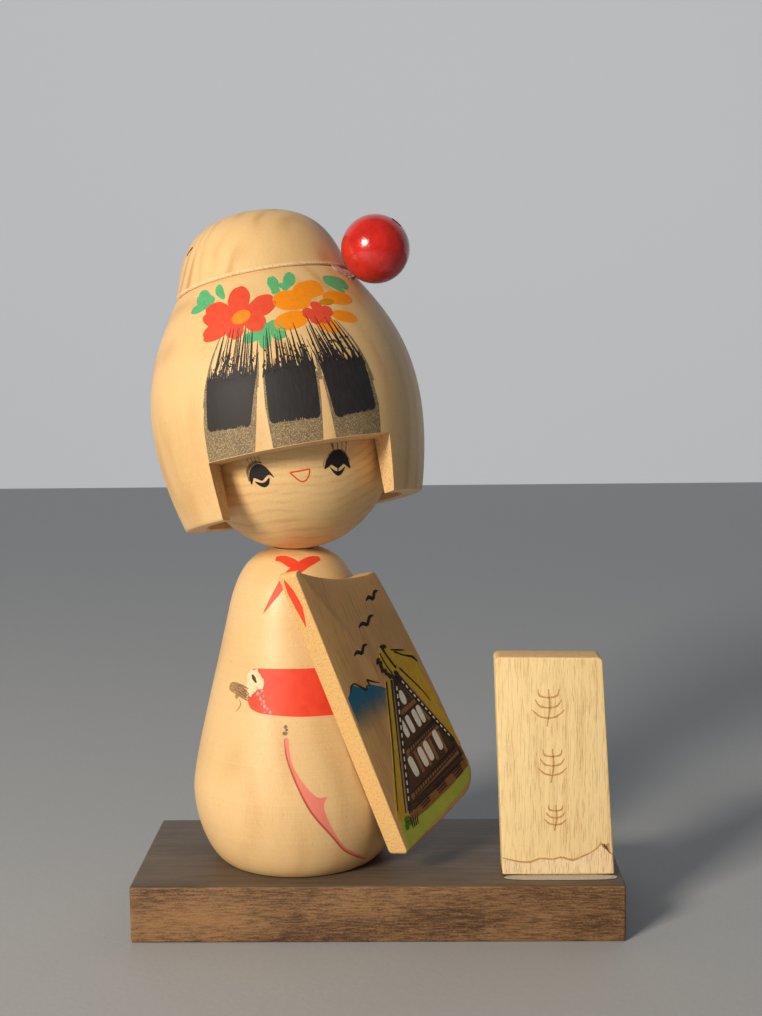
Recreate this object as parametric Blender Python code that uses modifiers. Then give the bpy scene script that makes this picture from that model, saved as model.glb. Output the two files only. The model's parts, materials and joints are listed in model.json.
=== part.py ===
"""Wooden kokeshi doll on a plinth, as the separate turned, sawn and drilled pieces it is made of.

The origin is the middle of the plinth's underside, +Z is up and the doll faces -Y.
The head sits on a dowel in the top of the body and turns about the dowel's upright axis.
"""

import math

import bpy
from mathutils import Matrix, Vector
from mathutils.geometry import interpolate_bezier

MM = 0.001
GAP = 0.3 * MM  # clearance between pieces that touch
TURNING_STEPS = 44  # sides of a large turned piece
SMALL_STEPS = 24  # sides of a dowel, a pin or a bore
PIN_STEPS = 16
PIN_BORE_STEPS = 12
CROWN_STEPS = 12  # steps of the bob's outline above its widest place
HOLLOW_STEPS = 13
BALL_STEPS = 23
DISH_STEPS = 25
PROFILE_STEPS = 8  # points along each curve of a turned profile

# Plinth: a sawn board that lies flat.
PLINTH_LENGTH = 120.0 * MM
PLINTH_DEPTH = 51.0 * MM
PLINTH_HEIGHT = 14.2 * MM
PLINTH_ROUND = 0.7 * MM

# Body: a turned pear. Heights are above the plinth's top.
DOLL_X = -20.2 * MM
FOOT_RADIUS = 20.1 * MM
BELLY_RADIUS = 26.8 * MM
BELLY_HEIGHT = 18.5 * MM
CHEST_RADIUS = 17.1 * MM
CHEST_HEIGHT = 63.5 * MM
BODY_HEIGHT = 79.6 * MM
TOP_FLATNESS = 0.55  # how far the flat top reaches, as a share of the chest's radius
CHEST_SLOPE = (2.9 * MM, 13.0 * MM)  # handle of the outline above the chest, inwards and up
FLANK_SLOPE = (3.9 * MM, 17.6 * MM)  # handle below the chest, outwards and down
BELLY_FULLNESS = 6.4 * MM
TUCK_FULLNESS = 7.0 * MM
FOOT_SLOPE = (3.7 * MM, 3.0 * MM)  # handle above the foot, outwards and up
PLANING_REACH = 100.0 * MM  # how far the cutter for the sleeve's flat reaches
PLANING_DEPTH = 20.0 * MM

# Face: a ball that stands in a shallow dish in the top of the body.
BALL_RADIUS = 24.4 * MM
BALL_HEIGHT = 103.2 * MM
HEAD_ROLL = math.radians(-10.1)  # about +Y: the crown leans to the doll's right
HEAD_BACK = math.radians(-9.4)  # about +X: the crown leans back
HEAD_YAW = math.radians(8.5)  # about the head's own axis

# Hair: a turned bob, hollow below, with a sawn window for the face.
# Its heights run along the head's axis from the middle of the ball.
RIM_RADIUS = 29.8 * MM
RIM_HEIGHT = -15.3 * MM
BOB_RADIUS = 33.7 * MM
BOB_WIDEST = 8.6 * MM
CROWN_RADIUS = 22.3 * MM
CROWN_HEIGHT = 41.7 * MM
WINDOW_TOP = -1.9 * MM
WINDOW_HALF_WIDTH = 21.5 * MM  # at WINDOW_REACH in front of the axis
WINDOW_REACH = 25.0 * MM
WINDOW_NEAR = 50.0 * MM  # where the window's cutter starts and ends in front of the axis
WINDOW_FAR = 8.0 * MM
UPPER_FULLNESS = (5.1 * MM, 8.5 * MM)  # handle of the outline below the crown, outwards and down
WIDEST_FULLNESS = (16.0 * MM, 9.4 * MM)  # handles above and below the widest place
RIM_SLOPE = (1.5 * MM, 5.2 * MM)  # handle above the rim, outwards and up
WINDOW_DRAFT = 0.31  # how fast the window narrows towards the ball

# Top knot: a turned dome on the crown.
KNOT_RADIUS = 22.4 * MM
KNOT_CHAMFER = 0.4 * MM
KNOT_HEIGHT = 18.8 * MM

# Hair bead: a drilled ball, nailed into the corner between the bob and the knot.
BEAD_RADIUS = 8.4 * MM
BEAD_OUT = 31.5 * MM
BEAD_UP = 43.9 * MM
BEAD_AZIMUTH = math.radians(-29.5)
PIN_SLOPE = math.radians(36.0)
PIN_RADIUS = 0.6 * MM
PIN_LENGTH = 22.0 * MM
PIN_HEAD_RADIUS = 1.3 * MM
PIN_HEAD_THICKNESS = 0.5 * MM
PIN_SINK = 0.4 * MM  # how far the head stands inside the bead's surface

# Dowels and the screw from beneath.
NECK_DOWEL_RADIUS = 4.0 * MM
NECK_DOWEL_BOTTOM = 63.0 * MM
NECK_DOWEL_TOP = 92.0 * MM
KNOT_DOWEL_RADIUS = 3.0 * MM
KNOT_DOWEL_BOTTOM = 33.0 * MM
KNOT_DOWEL_TOP = 50.0 * MM
DOWEL_CHAMFER = 0.5 * MM
SCREW_RADIUS = 1.6 * MM
SCREW_HEAD_RADIUS = 3.6 * MM
SCREW_HEAD_HEIGHT = 2.2 * MM
SCREW_LENGTH = 26.0 * MM
SCREW_SINK = 1.5 * MM  # the head's face above the plinth's underside
SLOT_WIDTH = 0.9 * MM

# Sleeve: a sawn board glued to a flat that is planed on the body's left shoulder and belly.
SLEEVE_AZIMUTH = math.radians(50.0)
SLEEVE_TILT = math.radians(13.0)
SLEEVE_LEAN = math.radians(16.2)
SLEEVE_THICKNESS = 6.0 * MM
SLEEVE_DISTANCE = 30.4 * MM  # from the foot of the body's axis to the board's inner face
SLEEVE_HEEL = (0.1 * MM, -0.1 * MM)  # the board's lower front corner, along and up its plane
SLEEVE_EDGE = 0.7 * MM
SLEEVE_CORNERS = (  # heel, toe, end of the toe's curve, back and front, along and up the board
    (0.0, -1.8 * MM),
    (33.2 * MM, 0.4 * MM),
    (32.0 * MM, 10.0 * MM),
    (25.7 * MM, 62.8 * MM),
    (0.0, 74.3 * MM),
)
SLEEVE_FRONT_CORNER = 1.2 * MM
SLEEVE_TOE_CORNER = 6.0 * MM
SLEEVE_BACK_CORNER = 1.5 * MM
SLEEVE_BACK_BOW = 0.9 * MM
SLEEVE_TOP_DIP = 1.9 * MM
SLEEVE_STEPS = 9

# Sign: a small upright board near the other end of the plinth.
SIGN_X = 44.35 * MM
SIGN_Y = -15.0 * MM
SIGN_THICKNESS = 8.0 * MM
SIGN_HEIGHT = 54.6 * MM
SIGN_FOOT_WIDTH = 27.3 * MM
SIGN_TOP_LEFT = -15.45 * MM
SIGN_TOP_RIGHT = 10.45 * MM
SIGN_CORNER = 1.3 * MM
SIGN_EDGE = 0.4 * MM

PINE = (0.80, 0.58, 0.33)
PINE_SHADE = (0.70, 0.50, 0.28)
SLEEVE_WOOD = (0.52, 0.35, 0.18)
STAIN = (0.12, 0.085, 0.06)
LACQUER = (0.62, 0.03, 0.02)
STEEL = (0.45, 0.44, 0.42)


def clear_scene():
    """Remove what the scene holds, so that the script can be run twice."""
    for thing in list(bpy.data.objects):
        bpy.data.objects.remove(thing, do_unlink=True)
    for group in list(bpy.data.collections):
        bpy.data.collections.remove(group)


def new_collection(name):
    """A collection linked to the scene."""
    group = bpy.data.collections.new(name)
    bpy.context.scene.collection.children.link(group)
    return group


def new_material(name, colour, roughness, metallic=0.0):
    """A Principled material of one colour."""
    material = bpy.data.materials.new(name)
    material.use_nodes = True
    shader = material.node_tree.nodes["Principled BSDF"]
    shader.inputs["Base Color"].default_value = (*colour, 1.0)
    shader.inputs["Roughness"].default_value = roughness
    shader.inputs["Metallic"].default_value = metallic
    return material


def new_empty(name, parent=None, matrix=None):
    """An empty that carries pieces, at matrix under its parent."""
    empty = bpy.data.objects.new(name, None)
    DOLL.objects.link(empty)
    empty.parent = parent
    empty.matrix_local = matrix or Matrix.Identity(4)
    return empty


def place(thing, parent=None, matrix=None):
    """Put an object under a parent at a matrix in the parent's frame."""
    thing.parent = parent
    thing.matrix_local = matrix or Matrix.Identity(4)
    return thing


def finish_piece(thing, material, parent=None, matrix=None, smooth=True):
    """Give a piece its material and place, and shade it."""
    thing.data.materials.append(material)
    place(thing, parent, matrix)
    if smooth:
        thing.data.shade_smooth()
    return thing


def mesh_object(name, points, edges, faces, group):
    """An object from points, edges and faces."""
    mesh = bpy.data.meshes.new(name)
    mesh.from_pydata(points, edges, faces)
    mesh.update()
    thing = bpy.data.objects.new(name, mesh)
    group.objects.link(thing)
    return thing


def bezier(start, handle_a, handle_b, end, steps=PROFILE_STEPS):
    """Points (radius, height) along one Bezier curve, ends included."""
    knots = [Vector((r, 0.0, z)) for r, z in (start, handle_a, handle_b, end)]
    return [(p.x, p.z) for p in interpolate_bezier(*knots, steps)]


def arc(radius, start_angle, end_angle, steps, centre=0.0):
    """Points (radius, height) on an arc about a centre on the axis; angle 0 is level."""
    points = []
    for i in range(steps):
        angle = start_angle + (end_angle - start_angle) * i / (steps - 1)
        points.append((radius * math.cos(angle), centre + radius * math.sin(angle)))
    return points


def turned(name, profile, steps, group, closed=False):
    """A solid of revolution about local Z from a profile of (radius, height), outer side down."""
    points = [(max(r, 0.0), 0.0, z) for r, z in profile]
    count = len(points)
    edges = [(i, i + 1) for i in range(count - 1)]
    if closed:
        edges.append((count - 1, 0))
    thing = mesh_object(name, points, edges, [], group)
    screw = thing.modifiers.new("turn", "SCREW")
    screw.axis = "Z"
    screw.angle = math.tau
    screw.steps = steps
    screw.render_steps = steps
    screw.use_merge_vertices = True
    screw.merge_threshold = 1e-6
    return thing


def cylinder(name, radius, bottom, top, group, steps=SMALL_STEPS):
    """A plain turned cylinder between two heights."""
    profile = [(0.0, top), (radius, top), (radius, bottom), (0.0, bottom)]
    return turned(name, profile, steps, group)


def dowel(name, radius, bottom, top, group):
    """A cylinder with chamfered ends."""
    c = DOWEL_CHAMFER
    upper = [(0.0, top), (radius - c, top), (radius, top - c)]
    lower = [(radius, bottom + c), (radius - c, bottom), (0.0, bottom)]
    return turned(name, upper + lower, SMALL_STEPS, group)


def box(name, low, high, group):
    """A box between two corners, from a cube primitive's own eight points."""
    xs, ys, zs = zip(low, high)
    bpy.ops.mesh.primitive_cube_add(size=1.0)
    thing = bpy.context.active_object
    thing.name = name
    thing.data.name = name
    for old in list(thing.users_collection):
        old.objects.unlink(thing)
    group.objects.link(thing)
    for vertex in thing.data.vertices:
        vertex.co = Vector((xs[vertex.co.x > 0], ys[vertex.co.y > 0], zs[vertex.co.z > 0]))
    return thing


def cut(piece, cutter):
    """Take a cutter's shape out of a piece."""
    cutter.hide_render = True
    cutter.display_type = "WIRE"
    modifier = piece.modifiers.new(cutter.name, "BOOLEAN")
    modifier.operation = "DIFFERENCE"
    modifier.solver = "EXACT"
    modifier.object = cutter


def round_edges(piece, width, segments=2):
    """Round a piece's sharp edges."""
    modifier = piece.modifiers.new("round", "BEVEL")
    modifier.width = width
    modifier.segments = segments
    modifier.limit_method = "ANGLE"
    modifier.angle_limit = math.radians(40.0)


def corner_arc(before, corner, after, radius, steps=5):
    """Points that round the corner between two straight edges."""
    corner = Vector(corner)
    to_before = (Vector(before) - corner).normalized()
    to_after = (Vector(after) - corner).normalized()
    half = to_before.angle(to_after) / 2.0
    reach = radius / math.tan(half)
    centre = corner + (to_before + to_after).normalized() * radius / math.sin(half)
    first = corner + to_before * reach - centre
    last = corner + to_after * reach - centre
    points = []
    for i in range(steps):
        spoke = first.slerp(last, i / (steps - 1)).normalized()
        points.append(tuple(centre + spoke * radius))
    return points


def bowed(start, end, bow, steps=7):
    """Points between two corners on a shallow arc that bows to the left of the way."""
    start, end = Vector(start), Vector(end)
    side = (end - start).orthogonal().normalized() * bow
    points = []
    for i in range(1, steps):
        t = i / steps
        points.append(tuple(start.lerp(end, t) + side * 4.0 * t * (1.0 - t)))
    return points


def plate(name, outline, thickness, edge, group):
    """A flat board from an outline in its own plane, with rounded edges; its back is at local Z 0."""
    curve = bpy.data.curves.new(name, "CURVE")
    curve.dimensions = "2D"
    curve.fill_mode = "BOTH"
    curve.extrude = thickness / 2.0
    spline = curve.splines.new("POLY")
    spline.points.add(len(outline) - 1)
    for point, (x, y) in zip(spline.points, outline):
        point.co = (x, y, 0.0, 1.0)
    spline.use_cyclic_u = True
    thing = bpy.data.objects.new(name, curve)
    group.objects.link(thing)
    thing.location = (0.0, 0.0, thickness / 2.0)
    solid = curve_to_mesh(thing)
    weld = solid.modifiers.new("weld", "WELD")
    weld.merge_threshold = 1e-6
    round_edges(solid, edge)
    return solid


def curve_to_mesh(thing):
    """Replace a curve object by the mesh it draws, with its place in the mesh."""
    bpy.context.view_layer.update()
    evaluated = thing.evaluated_get(bpy.context.evaluated_depsgraph_get())
    mesh = bpy.data.meshes.new_from_object(evaluated)
    mesh.transform(thing.matrix_world)
    name = thing.name
    group = thing.users_collection[0]
    curve = thing.data
    bpy.data.objects.remove(thing, do_unlink=True)
    bpy.data.curves.remove(curve)
    solid = bpy.data.objects.new(name, mesh)
    group.objects.link(solid)
    return solid


def make_plinth():
    """The board everything stands on, drilled for the screw."""
    half_x, half_y = PLINTH_LENGTH / 2.0, PLINTH_DEPTH / 2.0
    plinth = box("base_plinth", (-half_x, -half_y, 0.0), (half_x, half_y, PLINTH_HEIGHT), DOLL)
    round_edges(plinth, PLINTH_ROUND)
    at_doll = Matrix.Translation((DOLL_X, 0.0, 0.0))
    shank = cylinder("cut_shank", SCREW_RADIUS + GAP, -MM, PLINTH_HEIGHT + MM, CUTTERS)
    recess = cylinder(
        "cut_recess", SCREW_HEAD_RADIUS + GAP, -MM, SCREW_SINK + SCREW_HEAD_HEIGHT + GAP, CUTTERS
    )
    for cutter in (shank, recess):
        place(cutter, None, at_doll)
        cut(plinth, cutter)
    finish_piece(plinth, new_material("dark_stained_wood", STAIN, 0.65), smooth=False)


def make_screw():
    """The countersunk screw that holds the body from beneath, with a slotted head."""
    neck = SCREW_SINK + SCREW_HEAD_HEIGHT
    tip = SCREW_SINK + SCREW_LENGTH
    profile = [
        (0.0, tip),
        (SCREW_RADIUS, tip - 2.0 * SCREW_RADIUS),
        (SCREW_RADIUS, neck),
        (SCREW_HEAD_RADIUS, SCREW_SINK + 0.3 * SCREW_HEAD_HEIGHT),
        (SCREW_HEAD_RADIUS, SCREW_SINK),
        (0.0, SCREW_SINK),
    ]
    screw = turned("foot_screw", profile, SMALL_STEPS, DOLL)
    half = SLOT_WIDTH / 2.0
    reach = 2.0 * SCREW_HEAD_RADIUS
    slot = box(
        "cut_slot", (-reach, -half, 0.0), (reach, half, SCREW_SINK + 0.4 * SCREW_HEAD_HEIGHT), CUTTERS
    )
    at_doll = Matrix.Translation((DOLL_X, 0.0, 0.0))
    place(slot, None, at_doll)
    cut(screw, slot)
    finish_piece(screw, new_material("screw_steel", STEEL, 0.4, 1.0), None, at_doll)


def body_profile():
    """The pear's outline from the middle of its top, down its side, to the middle of its foot."""
    top = (0.0, BODY_HEIGHT)
    chest = (CHEST_RADIUS, CHEST_HEIGHT)
    belly = (BELLY_RADIUS, BELLY_HEIGHT)
    foot = (FOOT_RADIUS, GAP)
    above_chest = (CHEST_RADIUS - CHEST_SLOPE[0], CHEST_HEIGHT + CHEST_SLOPE[1])
    below_chest = (CHEST_RADIUS + FLANK_SLOPE[0], CHEST_HEIGHT - FLANK_SLOPE[1])
    above_belly = (BELLY_RADIUS, BELLY_HEIGHT + BELLY_FULLNESS)
    below_belly = (BELLY_RADIUS, BELLY_HEIGHT - TUCK_FULLNESS)
    above_foot = (FOOT_RADIUS + FOOT_SLOPE[0], FOOT_SLOPE[1])
    dome = bezier(top, (TOP_FLATNESS * CHEST_RADIUS, BODY_HEIGHT), above_chest, chest)
    flank = bezier(chest, below_chest, above_belly, belly)
    tuck = bezier(belly, below_belly, above_foot, foot)
    return dome + flank[1:] + tuck[1:] + [(0.0, GAP)]


def make_body():
    """The pear, with the dish for the ball, the dowel's bore, the screw's bore and the sleeve's flat."""
    body = turned("doll_body", body_profile(), TURNING_STEPS, DOLL)
    ball = arc(BALL_RADIUS + GAP, math.pi / 2.0, -math.pi / 2.0, DISH_STEPS, BALL_HEIGHT)
    dish = turned("cut_dish", ball, TURNING_STEPS, CUTTERS)
    bore = cylinder(
        "cut_neck_bore", NECK_DOWEL_RADIUS + GAP, NECK_DOWEL_BOTTOM - GAP, BODY_HEIGHT + MM, CUTTERS
    )
    screw_top = SCREW_SINK + SCREW_LENGTH - PLINTH_HEIGHT + GAP
    pilot = cylinder("cut_pilot", SCREW_RADIUS + GAP, -MM, screw_top, CUTTERS)
    flat = box(
        "cut_sleeve_flat",
        (-PLANING_REACH, -PLANING_REACH, -GAP),
        (PLANING_REACH, PLANING_REACH, PLANING_DEPTH),
        CUTTERS,
    )
    for cutter in (dish, bore, pilot):
        place(cutter, STANCE)
        cut(body, cutter)
    place(flat, STANCE, sleeve_matrix())
    cut(body, flat)
    finish_piece(body, new_material("turned_body_wood", PINE, 0.5), STANCE)


def make_neck_dowel():
    """The upright dowel the head turns on."""
    peg = dowel("neck_dowel", NECK_DOWEL_RADIUS, NECK_DOWEL_BOTTOM, NECK_DOWEL_TOP, DOLL)
    finish_piece(peg, new_material("dowel_wood", PINE_SHADE, 0.6), STANCE)


def make_ball():
    """The face: a turned ball with a blind bore for the neck dowel."""
    profile = arc(BALL_RADIUS, math.pi / 2.0, -math.pi / 2.0, BALL_STEPS)
    ball = turned("face_ball", profile, TURNING_STEPS, DOLL)
    bore = cylinder(
        "cut_ball_bore",
        NECK_DOWEL_RADIUS + GAP,
        -BALL_RADIUS - MM,
        NECK_DOWEL_TOP - BALL_HEIGHT + GAP,
        CUTTERS,
    )
    place(bore, NECK_AXIS)
    cut(ball, bore)
    finish_piece(ball, new_material("turned_face_wood", PINE, 0.45), NECK_AXIS)


def bob_profile():
    """The bob's outline: dowel bore, crown, outer curve, rim and the hollow for the ball."""
    hollow_radius = BALL_RADIUS + GAP
    bore_radius = KNOT_DOWEL_RADIUS + GAP
    bore_bottom = KNOT_DOWEL_BOTTOM - GAP
    bore = [(0.0, bore_bottom), (bore_radius, bore_bottom), (bore_radius, CROWN_HEIGHT)]
    crown = (CROWN_RADIUS, CROWN_HEIGHT)
    widest = (BOB_RADIUS, BOB_WIDEST)
    rim = (RIM_RADIUS, RIM_HEIGHT)
    below_crown = (CROWN_RADIUS + UPPER_FULLNESS[0], CROWN_HEIGHT - UPPER_FULLNESS[1])
    above_widest = (BOB_RADIUS, BOB_WIDEST + WIDEST_FULLNESS[0])
    below_widest = (BOB_RADIUS, BOB_WIDEST - WIDEST_FULLNESS[1])
    above_rim = (RIM_RADIUS + RIM_SLOPE[0], RIM_HEIGHT + RIM_SLOPE[1])
    upper = bezier(crown, below_crown, above_widest, widest, CROWN_STEPS)
    lower = bezier(widest, below_widest, above_rim, rim)
    hollow = arc(hollow_radius, 0.0, math.pi / 2.0, HOLLOW_STEPS)
    return bore + upper + lower[1:] + [(hollow_radius, RIM_HEIGHT)] + hollow


def window_half_width(reach):
    """Half the window's width at a distance in front of the head's axis."""
    return WINDOW_HALF_WIDTH + WINDOW_DRAFT * (reach - WINDOW_REACH)


def make_bob():
    """The hair, sawn open in front of the face and drilled for the bead's pin."""
    bob = turned("hair_bob", bob_profile(), TURNING_STEPS, DOLL)
    height = WINDOW_TOP - 2.0 * RIM_HEIGHT
    low, high = (-1.0, -WINDOW_NEAR, WINDOW_TOP - height), (1.0, -WINDOW_FAR, WINDOW_TOP)
    window = box("cut_window", low, high, CUTTERS)
    for vertex in window.data.vertices:
        vertex.co.x = math.copysign(window_half_width(-vertex.co.y), vertex.co.x)
    place(window, HEAD)
    cut(bob, window)
    deep, out = BEAD_RADIUS - PIN_LENGTH - 2.0 * GAP, BEAD_RADIUS
    bore = cylinder("cut_pin_bore", PIN_RADIUS + GAP, deep, out, CUTTERS, PIN_BORE_STEPS)
    place(bore, HEAD, pin_matrix())
    cut(bob, bore)
    finish_piece(bob, new_material("turned_hair_wood", PINE, 0.5), HEAD)


def make_knot():
    """The dome on the crown, with a chamfered foot and a blind bore for its dowel."""
    foot = CROWN_HEIGHT + GAP
    top = foot + KNOT_HEIGHT
    edge = (KNOT_RADIUS, foot + KNOT_CHAMFER)
    bore_radius = KNOT_DOWEL_RADIUS + GAP
    bore_top = KNOT_DOWEL_TOP + GAP
    dome = bezier(
        (0.0, top), (KNOT_RADIUS - 2.2 * MM, top), (KNOT_RADIUS - 2.7 * MM, foot + 6.0 * MM), edge, 14
    )
    bore = [(KNOT_RADIUS - KNOT_CHAMFER, foot), (bore_radius, foot), (bore_radius, bore_top), (0.0, bore_top)]
    knot = turned("top_knot", dome + bore, TURNING_STEPS, DOLL)
    finish_piece(knot, new_material("turned_knot_wood", PINE, 0.5), HEAD)


def make_knot_dowel():
    """The dowel between the bob and the knot."""
    peg = dowel("knot_dowel", KNOT_DOWEL_RADIUS, KNOT_DOWEL_BOTTOM, KNOT_DOWEL_TOP, DOLL)
    finish_piece(peg, new_material("knot_dowel_wood", PINE_SHADE, 0.6), HEAD)


def pin_matrix():
    """The bead's frame in the head's: origin in the bead's middle, +Z out along the pin."""
    outward = Vector((math.sin(BEAD_AZIMUTH + math.pi / 2.0), -math.cos(BEAD_AZIMUTH + math.pi / 2.0), 0.0))
    middle = outward * BEAD_OUT + Vector((0.0, 0.0, BEAD_UP))
    along = outward * math.cos(PIN_SLOPE) + Vector((0.0, 0.0, math.sin(PIN_SLOPE)))
    return Matrix.Translation(middle) @ along.to_track_quat("Z", "Y").to_matrix().to_4x4()


def make_bead():
    """The lacquered ball, drilled right through, with a small recess for the pin's head."""
    bore = PIN_RADIUS + GAP
    recess = PIN_HEAD_RADIUS + GAP
    start = math.acos(recess / BEAD_RADIUS)
    end = -math.acos(bore / BEAD_RADIUS)
    outer = arc(BEAD_RADIUS, start, end, 19)
    step = BEAD_RADIUS - PIN_SINK - PIN_HEAD_THICKNESS - GAP
    profile = outer + [(bore, step), (recess, step)]
    bead = turned("hair_bead", profile, 32, DOLL, closed=True)
    finish_piece(bead, new_material("red_lacquer", LACQUER, 0.15), HEAD, pin_matrix())


def make_pin():
    """The nail through the bead into the bob."""
    top = BEAD_RADIUS - PIN_SINK
    under = top - PIN_HEAD_THICKNESS
    tip = top - PIN_LENGTH
    profile = [
        (0.0, top),
        (PIN_HEAD_RADIUS, top),
        (PIN_HEAD_RADIUS, under),
        (PIN_RADIUS, under),
        (PIN_RADIUS, tip + 1.5 * MM),
        (0.0, tip),
    ]
    pin = turned("bead_pin", profile, PIN_STEPS, DOLL)
    finish_piece(pin, new_material("pin_steel", STEEL, 0.35, 1.0), HEAD, pin_matrix())


def sleeve_matrix():
    """The sleeve board's frame: X and Y along and up its inner face, Z outwards."""
    turn = Matrix.Rotation(SLEEVE_AZIMUTH, 4, "Z") @ Matrix.Rotation(math.pi / 2.0 - SLEEVE_TILT, 4, "X")
    heel = turn @ Vector((*SLEEVE_HEEL, SLEEVE_DISTANCE))
    return Matrix.Translation(heel) @ turn @ Matrix.Rotation(SLEEVE_LEAN, 4, "Z")


def sleeve_outline():
    """The board's outline: square heel, rounded toe, bowed back edge and a dipped top."""
    heel, toe, waist, back, front = SLEEVE_CORNERS
    outline = corner_arc(front, heel, toe, SLEEVE_FRONT_CORNER)
    outline += corner_arc(heel, toe, back, SLEEVE_TOE_CORNER, SLEEVE_STEPS)
    outline += bowed(waist, back, -SLEEVE_BACK_BOW)
    outline += corner_arc(toe, back, front, SLEEVE_BACK_CORNER)
    outline += bowed(back, front, SLEEVE_TOP_DIP, SLEEVE_STEPS)[1:-1]
    outline += corner_arc(back, front, heel, SLEEVE_FRONT_CORNER)
    return outline


def make_sleeve():
    """The sleeve, standing tangent to the body."""
    board = plate("sleeve_board", sleeve_outline(), SLEEVE_THICKNESS, SLEEVE_EDGE, DOLL)
    finish_piece(board, new_material("sleeve_wood", SLEEVE_WOOD, 0.55), STANCE, sleeve_matrix(), smooth=False)


def make_sign():
    """The sign board: upright, a little narrower at the top, leaning towards the doll."""
    half = SIGN_FOOT_WIDTH / 2.0
    left_foot, right_foot = (-half, GAP), (half, GAP)
    right_top, left_top = (SIGN_TOP_RIGHT, SIGN_HEIGHT - 0.3 * MM), (SIGN_TOP_LEFT, SIGN_HEIGHT)
    outline = [left_foot, right_foot]
    outline += corner_arc(right_foot, right_top, left_top, SIGN_CORNER)
    outline += corner_arc(right_top, left_top, left_foot, SIGN_CORNER)
    board = plate("sign_plaque", outline, SIGN_THICKNESS, SIGN_EDGE, DOLL)
    stand = Matrix.Translation((SIGN_X, SIGN_Y + SIGN_THICKNESS / 2.0, PLINTH_HEIGHT))
    upright = Matrix.Rotation(math.pi / 2.0, 4, "X")
    finish_piece(board, new_material("sign_wood", PINE, 0.6), None, stand @ upright, smooth=False)


clear_scene()
DOLL = new_collection("kokeshi_doll")
CUTTERS = new_collection("cutters")
STANCE = new_empty("doll_stance", None, Matrix.Translation((DOLL_X, 0.0, PLINTH_HEIGHT)))
NECK_AXIS = new_empty("neck_axis", STANCE, Matrix.Translation((0.0, 0.0, BALL_HEIGHT)))
NOD = Matrix.Rotation(HEAD_BACK, 4, "X") @ Matrix.Rotation(HEAD_YAW, 4, "Z")
HEAD = new_empty("head_tilt", NECK_AXIS, Matrix.Rotation(HEAD_ROLL, 4, "Y") @ NOD)
make_plinth()
make_screw()
make_body()
make_neck_dowel()
make_ball()
make_bob()
make_knot()
make_knot_dowel()
make_bead()
make_pin()
make_sleeve()
make_sign()
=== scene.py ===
"""The looks of a wooden kokeshi doll on its plinth.

Turned pieces are spun from their profiles, boards are extruded from their outlines, and the painted
decoration is thin films of paint that lie on the wood. Every piece is modelled in millimetres in its
own workshop frame and then set down in the doll, in metres.
"""

import json
import logging
import math
import random
from collections.abc import Sequence
from dataclasses import dataclass
from enum import Enum

import bmesh
import bpy
import numpy as np
from mathutils import Matrix, Vector
from mathutils.geometry import interpolate_bezier


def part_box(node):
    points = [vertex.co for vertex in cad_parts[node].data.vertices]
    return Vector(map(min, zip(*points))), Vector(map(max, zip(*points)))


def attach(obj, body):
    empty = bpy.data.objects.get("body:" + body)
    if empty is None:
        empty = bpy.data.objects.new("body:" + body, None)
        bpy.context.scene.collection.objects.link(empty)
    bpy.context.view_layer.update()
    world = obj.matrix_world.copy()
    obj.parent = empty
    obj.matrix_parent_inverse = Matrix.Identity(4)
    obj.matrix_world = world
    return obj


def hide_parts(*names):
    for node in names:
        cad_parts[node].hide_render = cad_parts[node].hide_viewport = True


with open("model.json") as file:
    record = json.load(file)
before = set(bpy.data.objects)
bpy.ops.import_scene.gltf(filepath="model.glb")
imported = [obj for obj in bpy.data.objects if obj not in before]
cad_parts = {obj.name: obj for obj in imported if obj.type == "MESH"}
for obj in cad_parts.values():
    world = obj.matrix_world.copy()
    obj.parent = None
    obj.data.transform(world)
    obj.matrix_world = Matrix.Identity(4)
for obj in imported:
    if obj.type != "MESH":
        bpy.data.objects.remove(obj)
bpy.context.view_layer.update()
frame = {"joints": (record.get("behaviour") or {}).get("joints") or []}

LOG = logging.getLogger("kokeshi")
MM = 0.001
GAP = 0.3  # clearance between pieces that touch, mm
FINE_STEPS = 160  # sides of a large turned piece
SMALL_STEPS = 48  # sides of a dowel, a pin or a bore
CREASE = math.radians(32.0)  # edges sharper than this stay crisp

Point = tuple[float, float]
Colour = tuple[float, float, float]


class Body(Enum):
    """The bodies that pieces move with."""

    STAND = "stand"
    HEAD = "head"


class Slot(Enum):
    """The record's finishes."""

    PLINTH = "plinth_stain"
    STEEL = "steel"
    TURNED = "turned_wood"
    DOWEL = "dowel_wood"
    LACQUER = "red_lacquer"
    SLEEVE = "sleeve_wood"
    SIGN = "sign_wood"


# ---------------------------------------------------------------------------------------------
# Places in the doll, worked out from the frame
# ---------------------------------------------------------------------------------------------

HEAD_ROLL = math.radians(-10.1)
HEAD_BACK = math.radians(-9.4)
HEAD_YAW = math.radians(8.5)
SLEEVE_AZIMUTH = math.radians(50.0)
SLEEVE_TILT = math.radians(13.0)
SLEEVE_LEAN = math.radians(16.2)
SLEEVE_HEEL = (0.1, -0.1, 30.4)  # along, up and out of the board's plane, mm


def joint_position(name: str) -> Vector:
    """Where a joint's axis passes, in metres.

    Args:
        name: The joint's name in the record.

    Returns:
        The joint's point.
    """
    found = [joint for joint in frame["joints"] if joint["name"] == name]
    return Vector(found[0]["pos_m"])


def head_frame() -> Matrix:
    """The head's own frame: the ball's middle, face towards -Y, crown towards +Z.

    Returns:
        The frame's matrix, in metres.
    """
    turn = (
        Matrix.Rotation(HEAD_ROLL, 4, "Y")
        @ Matrix.Rotation(HEAD_BACK, 4, "X")
        @ Matrix.Rotation(HEAD_YAW, 4, "Z")
    )
    return Matrix.Translation(joint_position("head_turn")) @ turn


def stance_frame() -> Matrix:
    """The body's frame: on the plinth's top, under the head's axis.

    Returns:
        The frame's matrix, in metres.
    """
    axis = joint_position("head_turn")
    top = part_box("base_plinth")[1].z
    return Matrix.Translation((axis.x, axis.y, top))


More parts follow.
